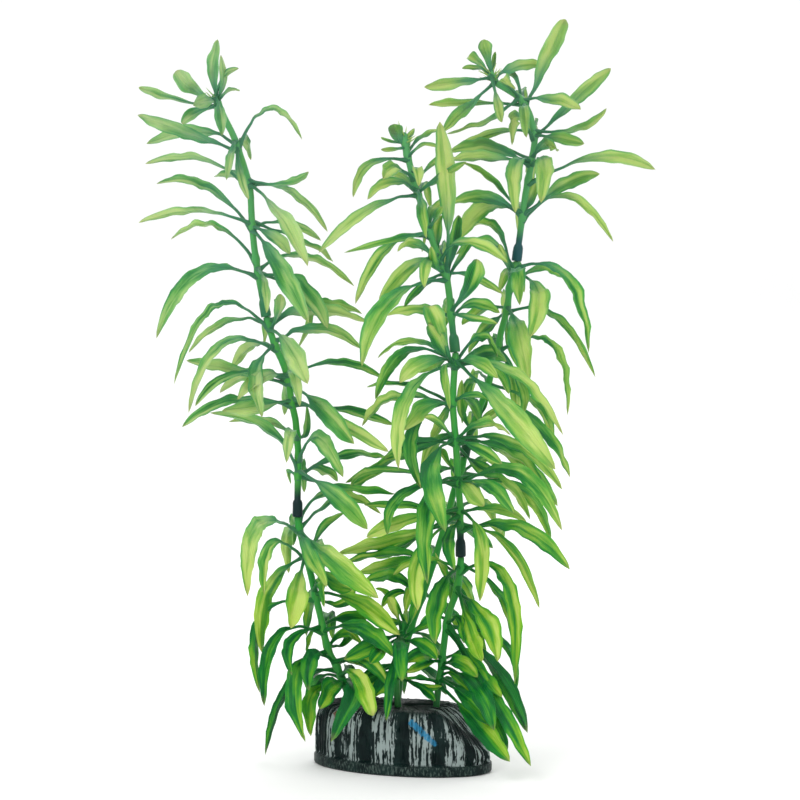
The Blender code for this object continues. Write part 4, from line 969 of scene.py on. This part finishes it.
def read_place(place):
    """Where a world place appears in the front view: across, up and away."""
    turned = Matrix.Rotation(-FRONT_YAW, 3, "Z") @ place / MM
    spread = 1 + turned.y / EYE_DISTANCE
    up = EYE_HEIGHT + (turned.z - EYE_HEIGHT) / spread + READ_ABOVE_FLOOR
    return turned.x / spread, up, turned.y


def tone_of(leaf):
    """How light a blade is: about 0 for deep green, about 1 for lime."""
    tip_across, tip_up = leaf.values[2:4]
    near, tone = min(
        (math.hypot(across - tip_across, up - tip_up), tone)
        for tone, tips in TONES.items() for across, up in tips
    )
    if near < SAME_TIP:
        return tone
    by_chance = TONE_SPREAD * (scatter(leaf.index, FOURTH_STEP) - 0.5)
    return LOWEST_TONE + TONE_RISE * tip_up / TALLEST + by_chance


def add_attribute(mesh, name, vectors):
    """Gives every point of a mesh three values for the materials."""
    attribute = mesh.attributes.new(name, "FLOAT_VECTOR", "POINT")
    attribute.data.foreach_set("vector", np.array(vectors, np.float32).ravel())


class Builder:
    """Points, faces and what the materials need to know of each point."""

    def __init__(self):
        self.points = []
        self.faces = []
        self.slots = []
        self.marks = []
        self.flow = []

    def add_rings(self, rings, marks, slot, flow=None):
        """Closed rings of points, each joined to the next, with both ends filled."""
        first = len(self.points)
        count = len(rings[0])
        for ring, ring_marks in zip(rings, marks):
            self.points += ring
            self.marks += ring_marks
        self.flow += flow or [(0.0, 0.0, 0.0)] * (len(rings) * count)
        for row in range(len(rings) - 1):
            start = first + row * count
            for k in range(count):
                after = (k + 1) % count
                face = (start + k, start + after, start + count + after, start + count + k)
                self.faces.append(face)
        last = first + (len(rings) - 1) * count
        self.faces.append(tuple(first + k for k in reversed(range(count))))
        self.faces.append(tuple(last + k for k in range(count)))
        self.slots += [slot] * (len(self.faces) - len(self.slots))

    def mesh(self, name, materials):
        mesh = bpy.data.meshes.new(name)
        mesh.from_pydata(self.points, [], self.faces)
        for material in materials:
            mesh.materials.append(material)
        mesh.polygons.foreach_set("material_index", self.slots)
        add_attribute(mesh, "marks", self.marks)
        add_attribute(mesh, "flow", self.flow)
        shape = bmesh.new()
        shape.from_mesh(mesh)
        bmesh.ops.recalc_face_normals(shape, faces=shape.faces)
        shape.to_mesh(mesh)
        shape.free()
        mesh.shade_smooth()
        mesh.set_sharp_from_angle(angle=SHARP_ANGLE)
        return mesh


def wander(index, lane, t):
    """A smooth wave from about -1 to 1 that differs from leaf to leaf and from lane to lane."""
    spot = Vector([step * value for step, value in zip(WANDER_STEPS, (index, t, lane))])
    return WANDER_SIZE * noise.noise(spot)


def fine_half_width(leaf, t):
    """The solid leaf's outline, run smoothly from sheath to petiole to blade, in metres."""
    petiole = leaf.petiole_width(t) * (1 + SHEATH_FLARE * (1 - smooth(t / SHEATH_END)))
    body = leaf.body_width(t, FINE_BLUNT_END - BLUNT_FROM)
    return 0.5 * MM * math.hypot(petiole, body) + THINNEST_HALF * MM


def add_leaf(builder, leaf):
    """A thin blade folded along its rib, with ruffled edges, on a round petiole."""
    tone = tone_of(leaf)
    length = ((leaf.control - leaf.root).length + (leaf.tip - leaf.control).length) / MM
    waves = length / RUFFLE_LENGTH
    fold = LEAST_FOLD + FOLD_SPREAD * scatter(leaf.index, THIRD_STEP)
    rises_at = BLADE_RISES_AT * leaf.petiole
    rings = []
    marks = []
    for row in range(LEAF_ROWS):
        t = row / (LEAF_ROWS - 1)
        point, across, normal = leaf.frame(t)
        half = fine_half_width(leaf, t)
        blade = smooth((t - rises_at) / (leaf.petiole - rises_at + BLADE_RISES_OVER))
        bend = SPINE_WAVE * wander(leaf.index, 0, SPINE_PACE * waves * t) * math.sin(math.pi * t)
        point = point + normal * bend * MM
        fullness = min(1, half / MM / RUFFLE_FULL_AT)
        top = []
        under = []
        top_marks = []
        for column in range(LEAF_COLUMNS):
            s = math.sin(math.pi * (column / (LEAF_COLUMNS - 1) - 0.5))
            side = 1 if s > 0 else 2
            ruffle = RUFFLE_HEIGHT * MM * fullness * wander(leaf.index, side, waves * t) * s * s
            sway = wander(leaf.index, side + OUTLINE_LANES, OUTLINE_PACE * waves * t)
            outline = 1 + OUTLINE_WAVE * blade * sway
            near_rib = max(0.0, 1 - abs(s) / RIB_SHARE)
            groove = GROOVE_DEPTH * MM * near_rib * fullness
            lift = blade * (fold * abs(s) * half + ruffle - groove)
            round_half = PETIOLE_ROUNDNESS * half * (1 - blade) * math.sqrt(1 - s * s)
            thick = MM * BLADE_THICKNESS * (1 - EDGE_THINNING * s * s) * blade
            thick *= min(1, half / MM / FULL_THICKNESS_AT)
            rib = MM * RIB_THICKNESS * near_rib * (1 - t) * blade
            place = point + across * (s * half * outline) + normal * lift
            top.append((place + normal * round_half)[:])
            depth = round_half + thick + rib + LEAST_THICKNESS
            under.append((place - normal * depth)[:])
            top_marks.append((t, s, tone))
        rings.append(top + under[::-1])
        marks.append(top_marks + top_marks[::-1])
    drift = length / STREAK_LENGTH
    lane = STREAK_STEP * leaf.index
    flow = [(t * drift, s * STREAKS_ACROSS, lane) for ring in marks for t, s, _ in ring]
    builder.add_rings(rings, marks, LEAF_PLASTIC, flow)


def catmull(four, part):
    """A smooth value at part, from 0 to 1, between the second and third of four values."""
    a, b, c, d = four
    return 0.5 * (
        2 * b
        + (c - a) * part
        + (2 * a - 5 * b + 4 * c - d) * part**2
        + (3 * b - a - 3 * c + d) * part**3
    )


def smooth_path(path):
    """Places about STEM_STEP apart along the stem, from its lower end to its top."""
    knots = [Vector(place) for place in reversed(path)]
    knots = [2 * knots[0] - knots[1]] + knots + [2 * knots[-1] - knots[-2]]
    places = []
    for four in zip(knots, knots[1:], knots[2:], knots[3:]):
        count = max(1, round((four[2] - four[1]).length / STEM_STEP))
        places += [catmull(four, k / count) for k in range(count)]
    return places + [knots[-2]]


def lower_rings(sprig):
    """The rings below the stem proper, how dark it starts, and how far up it starts."""
    name, path, _, _, has_socket = sprig
    low, upward = bottom_of(path)
    if has_socket:
        darkness = SOCKET_DARKNESS.get(name, 1.0)
        rings = [(low + upward * rise, SOCKET_RADIUS * share, darkness) for rise, share in SOCKET_PROFILE]
        return rings, darkness, SOCKET_LENGTH
    radius = stem_radius(path[-1][1])
    in_hole = low - upward * STEM_HOLE_DEPTH * HOLE_SHARE
    rings = [(in_hole, radius, HOLE_DARKNESS), (low, radius, FLOOR_DARKNESS)]
    return rings, PLAIN_DARKNESS, PLAIN_START


def tip_rings(found):
    """The rounded end of a stem that nothing plugs into."""
    top, radius, _ = found[-1]
    lift = (top - found[-2][0]).normalized()
    return [(top + lift * rise, radius * share, CAP_DARKNESS) for rise, share in TIP_CAPS]


def stem_rings(sprig):
    """Each ring of the stem: its middle, its radius and how dark the plastic is there."""
    _, path, rings, path_above, _ = sprig
    found, darkness, start = lower_rings(sprig)
    travelled = 0.0
    before, _ = bottom_of(path)
    for place in smooth_path(path)[1:]:
        point = seen(*place)
        travelled += (point - before).length
        before = point
        if travelled < start:
            continue
        swelling = sum(math.exp(-(((place[1] - up) / RING_LENGTH) ** 2)) for up, _ in rings)
        dark = (1 - smooth((travelled - start) / DARK_LENGTH)) * darkness
        radius = stem_radius(place[1]) * (1 + RING_SWELL * min(1, swelling))
        found.append((point, radius, dark))
    if path_above is None:
        return found + tip_rings(found)
    joint, peg_way = bottom_of(path_above)
    found = [ring for ring in found if (ring[0] - joint).dot(peg_way) < BELOW_COLLAR]
    radius = stem_radius(path[0][1])
    found += [(joint + peg_way * rise, radius * share, COLLAR_DARKNESS) for rise, share in COLLAR]
    return found + [(joint + peg_way * rise, PEG_RADIUS, PEG_DARKNESS) for rise in (PEG_FROM, PEG_LENGTH)]


def add_tube(builder, found, sides, slot):
    rings = []
    marks = []
    for number, (middle, radius, mark) in enumerate(found):
        before = found[max(0, number - 1)][0]
        after = found[min(len(found) - 1, number + 1)][0]
        along = (after - before).normalized()
        side = along.cross(SIGHT).normalized()
        other = along.cross(side)
        ring = []
        for k in range(sides):
            angle = 2 * math.pi * k / sides
            way = side * math.cos(angle) + other * math.sin(angle)
            bump = 1 + STEM_BUMPS * noise.noise(middle * BUMP_SCALE + way * BUMPS_ROUND)
            ring.append((middle + way * radius * bump)[:])
        rings.append(ring)
        marks.append([mark] * sides)
    builder.add_rings(rings, marks, slot)


def add_stem(builder, sprig):
    found = [(middle, radius, (dark, 0.0, 0.0)) for middle, radius, dark in stem_rings(sprig)]
    add_tube(builder, found, STEM_SIDES, STEM_PLASTIC)


def add_bristles(builder, sprig):
    """The short pointed stubs crowded round a stem tip."""
    name, path, _, _, _ = sprig
    least_lean, lean_spread = BRISTLE_LEAN
    first_along, along_spread, across, tone = BRISTLE_MARKS
    top = seen(*path[0])
    upward = (top - seen(*path[1])).normalized()
    side = upward.cross(SIGHT).normalized()
    other = upward.cross(side)
    for number in range(BRISTLES.get(name, 0)):
        angle = 2 * math.pi * scatter(number, GOLDEN_STEP)
        lean = math.radians(least_lean + lean_spread * scatter(number, SILVER_STEP))
        length = BRISTLE_LENGTH + BRISTLE_SPREAD * scatter(number, THIRD_STEP)
        level = side * math.cos(angle) + other * math.sin(angle)
        way = upward * math.cos(lean) + level * math.sin(lean)
        root = top - upward * BRISTLE_DEPTH * MM * scatter(number, FOURTH_STEP)
        found = []
        for step in range(BRISTLE_STEPS + 1):
            t = step / BRISTLE_STEPS
            place = root + (way * t + upward * BRISTLE_RISE * t * t) * length * MM
            radius = BRISTLE_RADIUS * MM * (1 - t) ** BRISTLE_TAPER + BRISTLE_POINT
            found.append((place, radius, (first_along + along_spread * t, across, tone)))
        add_tube(builder, found, BRISTLE_SIDES, LEAF_PLASTIC)


def foot_inset(height):
    for (low, near), (high, far) in zip(FOOT_PROFILE, FOOT_PROFILE[1:]):
        if height <= high:
            return near + (far - near) * (height - low) / (high - low)
    return FOOT_PROFILE[-1][1]


def lump_at(angle):
    """How far the bark's lumps stand out or lie back at this angle, from about -1 to 1."""
    coarse = math.sin(RIDGES * angle + RIDGE_SWAY * math.sin(SWAYS * angle))
    return (coarse + FINE_SHARE * math.sin(FINE_RIDGES * angle + 1)) / (1 + FINE_SHARE)


def strand_at(angle, share, height):
    """How high the bark's strands stand here, from 0 in a groove to 1 on a crest."""
    spot = Vector((math.cos(angle) * FOOT_LENGTH, math.sin(angle) * FOOT_DEPTH, 0)) * share
    spot /= 2 * STRAND_WIDTH * MM
    spot.z = height / STRAND_LENGTH
    spot += STRAND_WARP * noise.noise_vector(spot * WARP_SCALE + WARP_SPOT)
    crest = max(0.0, 1 - CREST_SHARPNESS * abs(noise.noise(spot)))
    second = max(0.0, 1 - SECOND_SHARPNESS * abs(noise.noise(spot * SECOND_SCALE + SECOND_SPOT)))
    return (1 - SECOND_SHARE) * crest + SECOND_SHARE * second


def foot_place(angle, height, share):
    """A point of the foot's smooth skin, in metres. A share below 1 lies on its top."""
    inset = foot_inset(height) * MM
    bark = smooth((height - BARK_FROM) / BARK_OVER)
    bark *= 1 - smooth((height - BARK_UNTIL) / BARK_ENDS_OVER)
    ridge = bark * RIDGE_DEPTH * MM * (lump_at(angle) - RIDGE_SWAY)
    x = math.cos(angle) * (FOOT_LENGTH / 2 + ridge - inset) * share
    y = math.sin(angle) * (FOOT_DEPTH / 2 + ridge - inset) * share
    if height > PLINTH_TOP:
        drop = END_DROP * smooth((x / MM - END_DROP_FROM) / END_DROP_OVER)
        height = PLINTH_TOP + (height - PLINTH_TOP) * (1 - drop)
    return Vector((x, y, height * MM))


def near_dab(across, up, dab):
    """1 inside a painted dab, 0 outside it."""
    (xa, ua), (xb, ub), radius, far_radius = dab
    run = (xb - xa) ** 2 + (ub - ua) ** 2
    part = max(0.0, min(1.0, ((across - xa) * (xb - xa) + (up - ua) * (ub - ua)) / run))
    far = math.hypot(across - xa - (xb - xa) * part, up - ua - (ub - ua) * part)
    reach = radius + (far_radius - radius) * part
    spot = Vector((across * DAB_RAG_SCALE, up * DAB_RAG_SCALE, DAB_RAG_LANE))
    ragged = DAB_RAG * noise.noise(spot)
    return smooth((reach - far + ragged) / DAB_EDGE + 0.5)


def foot_skin_row(height, share, is_top):
    """One ring of the foot's skin, with its marks and its dabs of paint."""
    ring = []
    marks = []
    paint = []
    for turn in range(FOOT_TURNS):
        angle = 2 * math.pi * turn / FOOT_TURNS
        place = foot_place(angle, height, share)
        strand = strand_at(angle, share, height)
        lump = lump_at(angle)
        bark = smooth((height - BARK_FROM) / BARK_OVER)
        upright = 0.0 if is_top else bark * (1 - smooth((height - RELIEF_UNTIL) / RELIEF_ENDS_OVER))
        outward = Vector((math.cos(angle) / FOOT_LENGTH, math.sin(angle) / FOOT_DEPTH, 0))
        place += outward.normalized() * STRAND_HEIGHT * MM * upright * (strand - MIDDLE_STRAND)
        place.z += TOP_BUMPS * MM * (bark - upright) * (strand - MIDDLE_BUMP)
        across, up, away = read_place(place)
        facing = 1.0 if away < 0 and not is_top else 0.0
        ring.append(place[:])
        painted = smooth((math.cos(angle) * share - SLOPE_FROM) / SLOPE_OVER) if is_top else upright
        marks.append((strand, painted, lump))
        paint.append(tuple(facing * near_dab(across, up, dab) for dab in DABS))
    return ring, marks, paint


def foot_mesh(materials):
    noise.seed_set(BARK_SEED)
    top = FOOT_PROFILE[-1][0]
    rows = [foot_skin_row(top * row / FOOT_ROWS, 1.0, False) for row in range(FOOT_ROWS + 1)]
    rows += [foot_skin_row(top, share, True) for share in TOP_SHARES]
    builder = Builder()
    builder.add_rings([row[0] for row in rows], [row[1] for row in rows], 0)
    mesh = builder.mesh("foot_skin", materials)
    add_attribute(mesh, "dabs", [dab for row in rows for dab in row[2]])
    return mesh


class Nodes:
    """Short names for building a material's nodes."""

    def __init__(self, name):
        self.material = bpy.data.materials.new(name)
        self.material.use_nodes = True
        self.tree = self.material.node_tree
        self.shader = self.tree.nodes["Principled BSDF"]

    def new(self, kind, **settings):
        node = self.tree.nodes.new(kind)
        for key, value in settings.items():
            setattr(node, key, value)
        return node

    def link(self, source, target):
        self.tree.links.new(source, target)

    def attribute(self, name):
        """The three values of a point attribute."""
        node = self.new("ShaderNodeAttribute", attribute_name=name)
        split = self.new("ShaderNodeSeparateXYZ")
        self.link(node.outputs["Vector"], split.inputs[0])
        return split.outputs

    def place(self):
        """Where this point is on its piece, in metres."""
        return self.new("ShaderNodeTexCoord").outputs["Object"]

    def height(self):
        """How high this point is, in metres."""
        split = self.new("ShaderNodeSeparateXYZ")
        self.link(self.place(), split.inputs[0])
        return split.outputs[2]

    def rightward(self):
        """How far to the right of the middle this point is in the front view, in metres."""
        product = self.new("ShaderNodeVectorMath", operation="DOT_PRODUCT")
        self.link(self.place(), product.inputs[0])
        product.inputs[1].default_value = (math.cos(FRONT_YAW), math.sin(FRONT_YAW), 0)
        return product.outputs["Value"]

    def math(self, operation, *values):
        node = self.new("ShaderNodeMath", operation=operation)
        for socket, value in zip(node.inputs, values):
            if isinstance(value, (int, float)):
                socket.default_value = value
            else:
                self.link(value, socket)
        return node.outputs[0]

    def add(self, value, *others):
        """The sum, added up in this order."""
        for other in others:
            value = self.math("ADD", value, other)
        return value

    def range(self, value, low, high, to_low=0.0, to_high=1.0):
        """Runs smoothly from to_low at low to to_high at high."""
        node = self.new("ShaderNodeMapRange", interpolation_type="SMOOTHSTEP")
        self.link(value, node.inputs["Value"])
        for socket, number in zip(node.inputs[1:5], (low, high, to_low, to_high)):
            socket.default_value = number
        return node.outputs["Result"]

    def ramp(self, value, stops):
        """The colour at a value between 0 and 1, from stops of a position and a colour."""
        node = self.new("ShaderNodeValToRGB")
        self.link(value, node.inputs[0])
        elements = node.color_ramp.elements
        while len(elements) < len(stops):
            elements.new(0.5)
        for element, (position, colour) in zip(elements, stops):
            element.position = position
            element.color = (*colour, 1)
        return node.outputs[0]

    def mix(self, share, first, second):
        """A colour between two others. Each of them is a tuple or comes from other nodes."""
        node = self.new("ShaderNodeMix", data_type="RGBA")
        self.link(share, node.inputs[MIX_SHARE])
        for number, colour in zip(MIX_COLOURS, (first, second)):
            if isinstance(colour, tuple):
                node.inputs[number].default_value = (*colour, 1)
            else:
                self.link(colour, node.inputs[number])
        return node.outputs[MIX_RESULT]

    def noise(self, scale, detail, stretch=(1, 1, 1)):
        """Noise over the piece, drawn out where the stretch is below 1."""
        shrink = self.new("ShaderNodeMapping")
        shrink.inputs["Scale"].default_value = stretch
        self.link(self.place(), shrink.inputs["Vector"])
        return self.noise_in(shrink.outputs[0], scale, detail)

    def noise_in(self, place, scale, detail):
        """Noise over a place given by other nodes."""
        node = self.new("ShaderNodeTexNoise")
        node.inputs["Scale"].default_value = scale
        node.inputs["Detail"].default_value = detail
        self.link(place, node.inputs["Vector"])
        return node.outputs["Fac"]

    def bump(self, height, distance, strength):
        """Raised relief, with its height in metres."""
        node = self.new("ShaderNodeBump")
        node.inputs["Distance"].default_value = distance
        node.inputs["Strength"].default_value = strength
        self.link(height, node.inputs["Height"])
        self.link(node.outputs[0], self.shader.inputs["Normal"])

    def connect(self, colour, roughness):
        self.link(colour, self.shader.inputs["Base Color"])
        self.link(roughness, self.shader.inputs["Roughness"])

    def set(self, **values):
        """Sets the shader's own sockets, with _ for each blank in a socket's name."""
        for key, value in values.items():
            self.shader.inputs[key.replace("_", " ")].default_value = value


def leaf_light(made, leftward):
    """How light the leaf is at each point, from 0 deep green to 1 lime, with painted shade on one half of
    each fold and painted highlights in its streaks.
    """
    along, across, tone = made.attribute("marks")
    flow = made.new("ShaderNodeAttribute", attribute_name="flow").outputs["Vector"]
    # The streaks are partly the plastic's own colour and partly painted highlights.
    streaks = made.range(made.noise_in(flow, *STREAK_GRAIN), *STREAK_AND_HIGHLIGHT_LIGHT)
    fine = made.range(made.noise_in(flow, *FINE_STREAK_GRAIN), *FINE_STREAK_AND_HIGHLIGHT_LIGHT)
    side = made.math("ABSOLUTE", across)
    light = made.add(
        made.math("MULTIPLY_ADD", tone, *TONE_LIGHT),
        made.add(streaks, fine),
        # Painted shade on one half of each fold, painted light on the other.
        made.range(across, *HALVES_SHADE_AND_LIGHT),
        made.range(side, *EDGE_LIGHT),
        made.range(side, *RIB_LIGHT),
        made.range(along, *LENGTH_LIGHT),
    )
    light = made.math("MULTIPLY_ADD", leftward, LEFT_LIGHT, light)
    light = made.add(light, made.range(made.height(), *HEIGHT_LIGHT))
    light = made.math("MULTIPLY", light, made.range(along, *BLADE_FROM_PETIOLE))
    return made.add(light, made.range(along, *PETIOLE_LIGHT))


def leaf_colour(made):
    """Deep green to lime by lightness, cooler at petioles and edges, with a paler painted sheen higher up
    and on the left.
    """
    along, across, _ = made.attribute("marks")
    leftward = made.range(made.rightward(), *LEFT_PART)
    leftward = made.math("MULTIPLY", leftward, made.range(made.height(), *LEFT_PART_HEIGHT))
    light = leaf_light(made, leftward)
    colour = made.ramp(light, LEAF_RAMP)
    high_green = made.mix(leftward, *HIGH_GREENS)
    colour = made.mix(made.range(made.height(), *HIGH_GREENS_HEIGHT), colour, high_green)
    cool_left = made.math("MULTIPLY", leftward, COOL_LEFT_SHARE)
    cool = made.math("MAXIMUM", made.range(made.height(), *COOL_HEIGHT), cool_left)
    edge = made.range(made.math("ABSOLUTE", across), *COOL_EDGE)
    cool_part = made.math("MAXIMUM", made.range(along, *COOL_PETIOLE), edge)
    cool_green = made.mix(made.range(along, *COOL_GREENS_ALONG), *COOL_GREENS)
    colour = made.mix(made.math("MULTIPLY", cool, cool_part), colour, cool_green)
    # Painted sheen: a pale green mixed in higher up and on the left, most where the leaf is lighter.
    paler = made.math("MULTIPLY", made.range(made.height(), *SHEEN_HEIGHT), SHEEN_HEIGHT_SHARE)
    paler = made.math("MULTIPLY_ADD", leftward, SHEEN_LEFT_SHARE, paler)
    paler = made.math("MULTIPLY", paler, made.range(light, *SHEEN_BY_LIGHTNESS))
    colour = made.mix(paler, colour, PAINTED_SHEEN_GREEN)
    tip = made.math("MULTIPLY", made.range(along, *TIP_PART), TIP_SHARE)
    return made.mix(tip, colour, TIP_BROWN)


def leaf_material():
    """Thin moulded plastic, streaked along the blade from deep green to lime: the streaks are partly the
    plastic's own colour and partly painted highlights.
    """
    made = Nodes("leaf_plastic")
    across = made.attribute("marks")[1]
    grain = made.noise(*LEAF_GRAIN)
    made.connect(leaf_colour(made), made.range(grain, *LEAF_ROUGHNESS))
    veins = made.math("SINE", made.math("MULTIPLY", across, VEINS))
    made.bump(made.add(made.math("MULTIPLY", veins, VEIN_SHARE), grain), *LEAF_RELIEF)
    made.set(**LEAF_LOOK)
    return made.material


def stem_material():
    """Solid green plastic that is nearly black at the sockets."""
    made = Nodes("stem_plastic")
    dark = made.attribute("marks")[0]
    streaks = made.noise(*STEM_STREAK_GRAIN)
    green = made.ramp(made.range(made.height(), *STEM_HEIGHT), STEM_RAMP)
    green = made.mix(made.range(streaks, *STEM_STREAKS), green, STEM_STREAK_GREEN)
    socket = made.ramp(made.range(made.height(), *SOCKET_HEIGHT), SOCKET_RAMP)
    made.connect(made.mix(dark, green, socket), made.range(streaks, *STEM_ROUGHNESS))
    made.bump(made.noise(*STEM_GRAIN), *STEM_RELIEF)
    made.set(**STEM_LOOK)
    return made.material


def foot_material():
    """Black painted casting, dry-brushed pale grey on its crests, with three dabs of colour."""
    made = Nodes("painted_bark")
    strand, painted, lump = made.attribute("marks")
    blue, brown, pale = made.attribute("dabs")
    clouds = made.noise(*CLOUD_GRAIN)
    specks = made.noise(*SPECK_GRAIN)
    brushed = made.add(
        strand,
        made.range(specks, *BRUSHED_SPECKS),
        made.range(lump, *BRUSHED_LUMPS),
        made.range(clouds, *BRUSHED_CLOUDS),
    )
    brushed = made.math("MULTIPLY", made.range(brushed, *BRUSHED_CRESTS), painted)
    black = made.mix(made.range(clouds, *BLACK_CLOUDS), *BLACKS)
    rim = made.range(made.height(), *RIM_HEIGHT)
    rim = made.math("MULTIPLY", rim, made.range(specks, *RIM_SPECKS))
    colour = made.mix(brushed, made.mix(rim, black, RIM_GREY), BRUSHED_GREY)
    colour = made.mix(made.math("MULTIPLY", brown, BROWN_SHARE), colour, BROWN_PAINT)
    colour = made.mix(made.math("MULTIPLY", pale, PALE_SHARE), colour, PALE_PAINT)
    worn = made.add(made.range(specks, *BLUE_SPECKS), made.range(strand, *BLUE_STRANDS))
    worn = made.math("MULTIPLY", blue, made.math("MINIMUM", worn, 1.0))
    colour = made.mix(worn, colour, BLUE_PAINT)
    made.connect(colour, made.range(brushed, *FOOT_ROUGHNESS))
    made.bump(made.add(specks, made.noise(*PIT_GRAIN)), *FOOT_RELIEF)
    made.set(**FOOT_LOOK)
    return made.material


def paper_material():
    made = Nodes("pale_paper")
    made.set(Base_Color=(*PAPER_WHITE, 1), **PAPER_LOOK)
    return made.material


def turned(across, away, up):
    """A world place given from the front view's own axes, in metres."""
    return Matrix.Rotation(FRONT_YAW, 3, "Z") @ Vector((across, away, up))


def add_object(name, data):
    obj = bpy.data.objects.new(name, data)
    bpy.context.scene.collection.objects.link(obj)
    return obj


def add_stage():
    """A pale floor that runs up into a backdrop, as one swept sheet."""
    rows = [(FLOOR_FRONT, 0.0), (FLOOR_BACK, 0.0)]
    for k in range(1, BEND_STEPS + 1):
        angle = math.pi / 2 * k / BEND_STEPS
        rows.append((FLOOR_BACK + BEND_RADIUS * math.sin(angle), BEND_RADIUS * (1 - math.cos(angle))))
    rows.append((FLOOR_BACK + BEND_RADIUS, BACKDROP_TOP))
    points = [turned(x, away, up)[:] for away, up in rows for x in (-HALF_PAPER, HALF_PAPER)]
    faces = [(2 * k, 2 * k + 1, 2 * k + 3, 2 * k + 2) for k in range(len(rows) - 1)]
    mesh = bpy.data.meshes.new("backdrop")
    mesh.from_pydata(points, [], faces)
    mesh.materials.append(paper_material())
    mesh.shade_smooth()
    add_object("backdrop", mesh)


def add_light(name, place, size, power):
    data = bpy.data.lights.new(name, "AREA")
    data.shape = "DISK"
    data.size = size
    data.energy = power
    light = add_object(name, data)
    light.location = place
    light.rotation_euler = (LIGHT_AIM - place).to_track_quat("-Z", "Y").to_euler()


def add_lights():
    for name, place, size, power in LIGHTS:
        add_light(name, turned(*place), size, power)
    world = bpy.data.worlds.new("studio")
    world.use_nodes = True
    background = world.node_tree.nodes["Background"]
    background.inputs["Color"].default_value = (1, 1, 1, 1)
    background.inputs["Strength"].default_value = WORLD_STRENGTH
    bpy.context.scene.world = world
    bpy.context.scene.view_settings.view_transform = "Standard"


def add_camera():
    """The camera stands where the photo was taken from, level, with the frame shifted down."""
    data = bpy.data.cameras.new("camera")
    data.sensor_width = SENSOR
    data.lens = SENSOR * EYE_DISTANCE / FRAME_WIDTH
    data.shift_x = FRAME_MIDDLE[0] / FRAME_WIDTH
    data.shift_y = (FRAME_MIDDLE[1] - EYE_HEIGHT) / FRAME_WIDTH
    camera = add_object("camera", data)
    camera.location = turned(0, -EYE_DISTANCE * MM, EYE_HEIGHT * MM)
    camera.rotation_euler = (math.radians(90), 0, FRONT_YAW)
    bpy.context.scene.camera = camera


def add_foot(material):
    skin = add_object("foot_skin", foot_mesh([material]))
    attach(skin, "root")
    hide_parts("foot")


def stem_tree(sprig):
    builder = Builder()
    add_stem(builder, sprig)
    return BVHTree.FromPolygons(builder.points, builder.faces)


def settled_leaves(foot):
    """Every sprig's leaves, swung clear of the other sprigs as in the solid model."""
    stems = {sprig[0]: stem_tree(sprig) for sprig in SPRIGS}
    found = []
    settled = []
    index = 0
    for sprig in SPRIGS:
        leaves = leaves_of(sprig, index)
        index += len(leaves)
        others = [tree for other, tree in stems.items() if other != sprig[0]]
        obstacles = [foot] + others + settled
        for leaf in leaves:
            settle(leaf, obstacles)
        settled += [leaf_tree(leaf) for leaf in leaves]
        found.append((sprig, leaves))
    return found


def add_sprigs(foot):
    materials = [leaf_material(), stem_material()]
    for sprig, leaves in settled_leaves(foot):
        name = sprig[0]
        builder = Builder()
        for leaf in leaves:
            add_leaf(builder, leaf)
        add_bristles(builder, sprig)
        add_stem(builder, sprig)
        piece = add_object(name + "_foliage", builder.mesh(name + "_foliage", materials))
        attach(piece, "root")
        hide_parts(name)


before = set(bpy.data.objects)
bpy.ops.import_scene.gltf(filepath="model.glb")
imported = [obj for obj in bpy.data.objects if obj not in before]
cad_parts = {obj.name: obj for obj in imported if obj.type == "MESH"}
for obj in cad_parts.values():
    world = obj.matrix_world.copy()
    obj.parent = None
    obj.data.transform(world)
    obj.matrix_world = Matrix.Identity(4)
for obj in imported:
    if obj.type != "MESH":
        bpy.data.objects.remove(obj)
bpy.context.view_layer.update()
add_foot(foot_material())
add_sprigs(node_tree(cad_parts["foot"]))
add_stage()
add_lights()
add_camera()
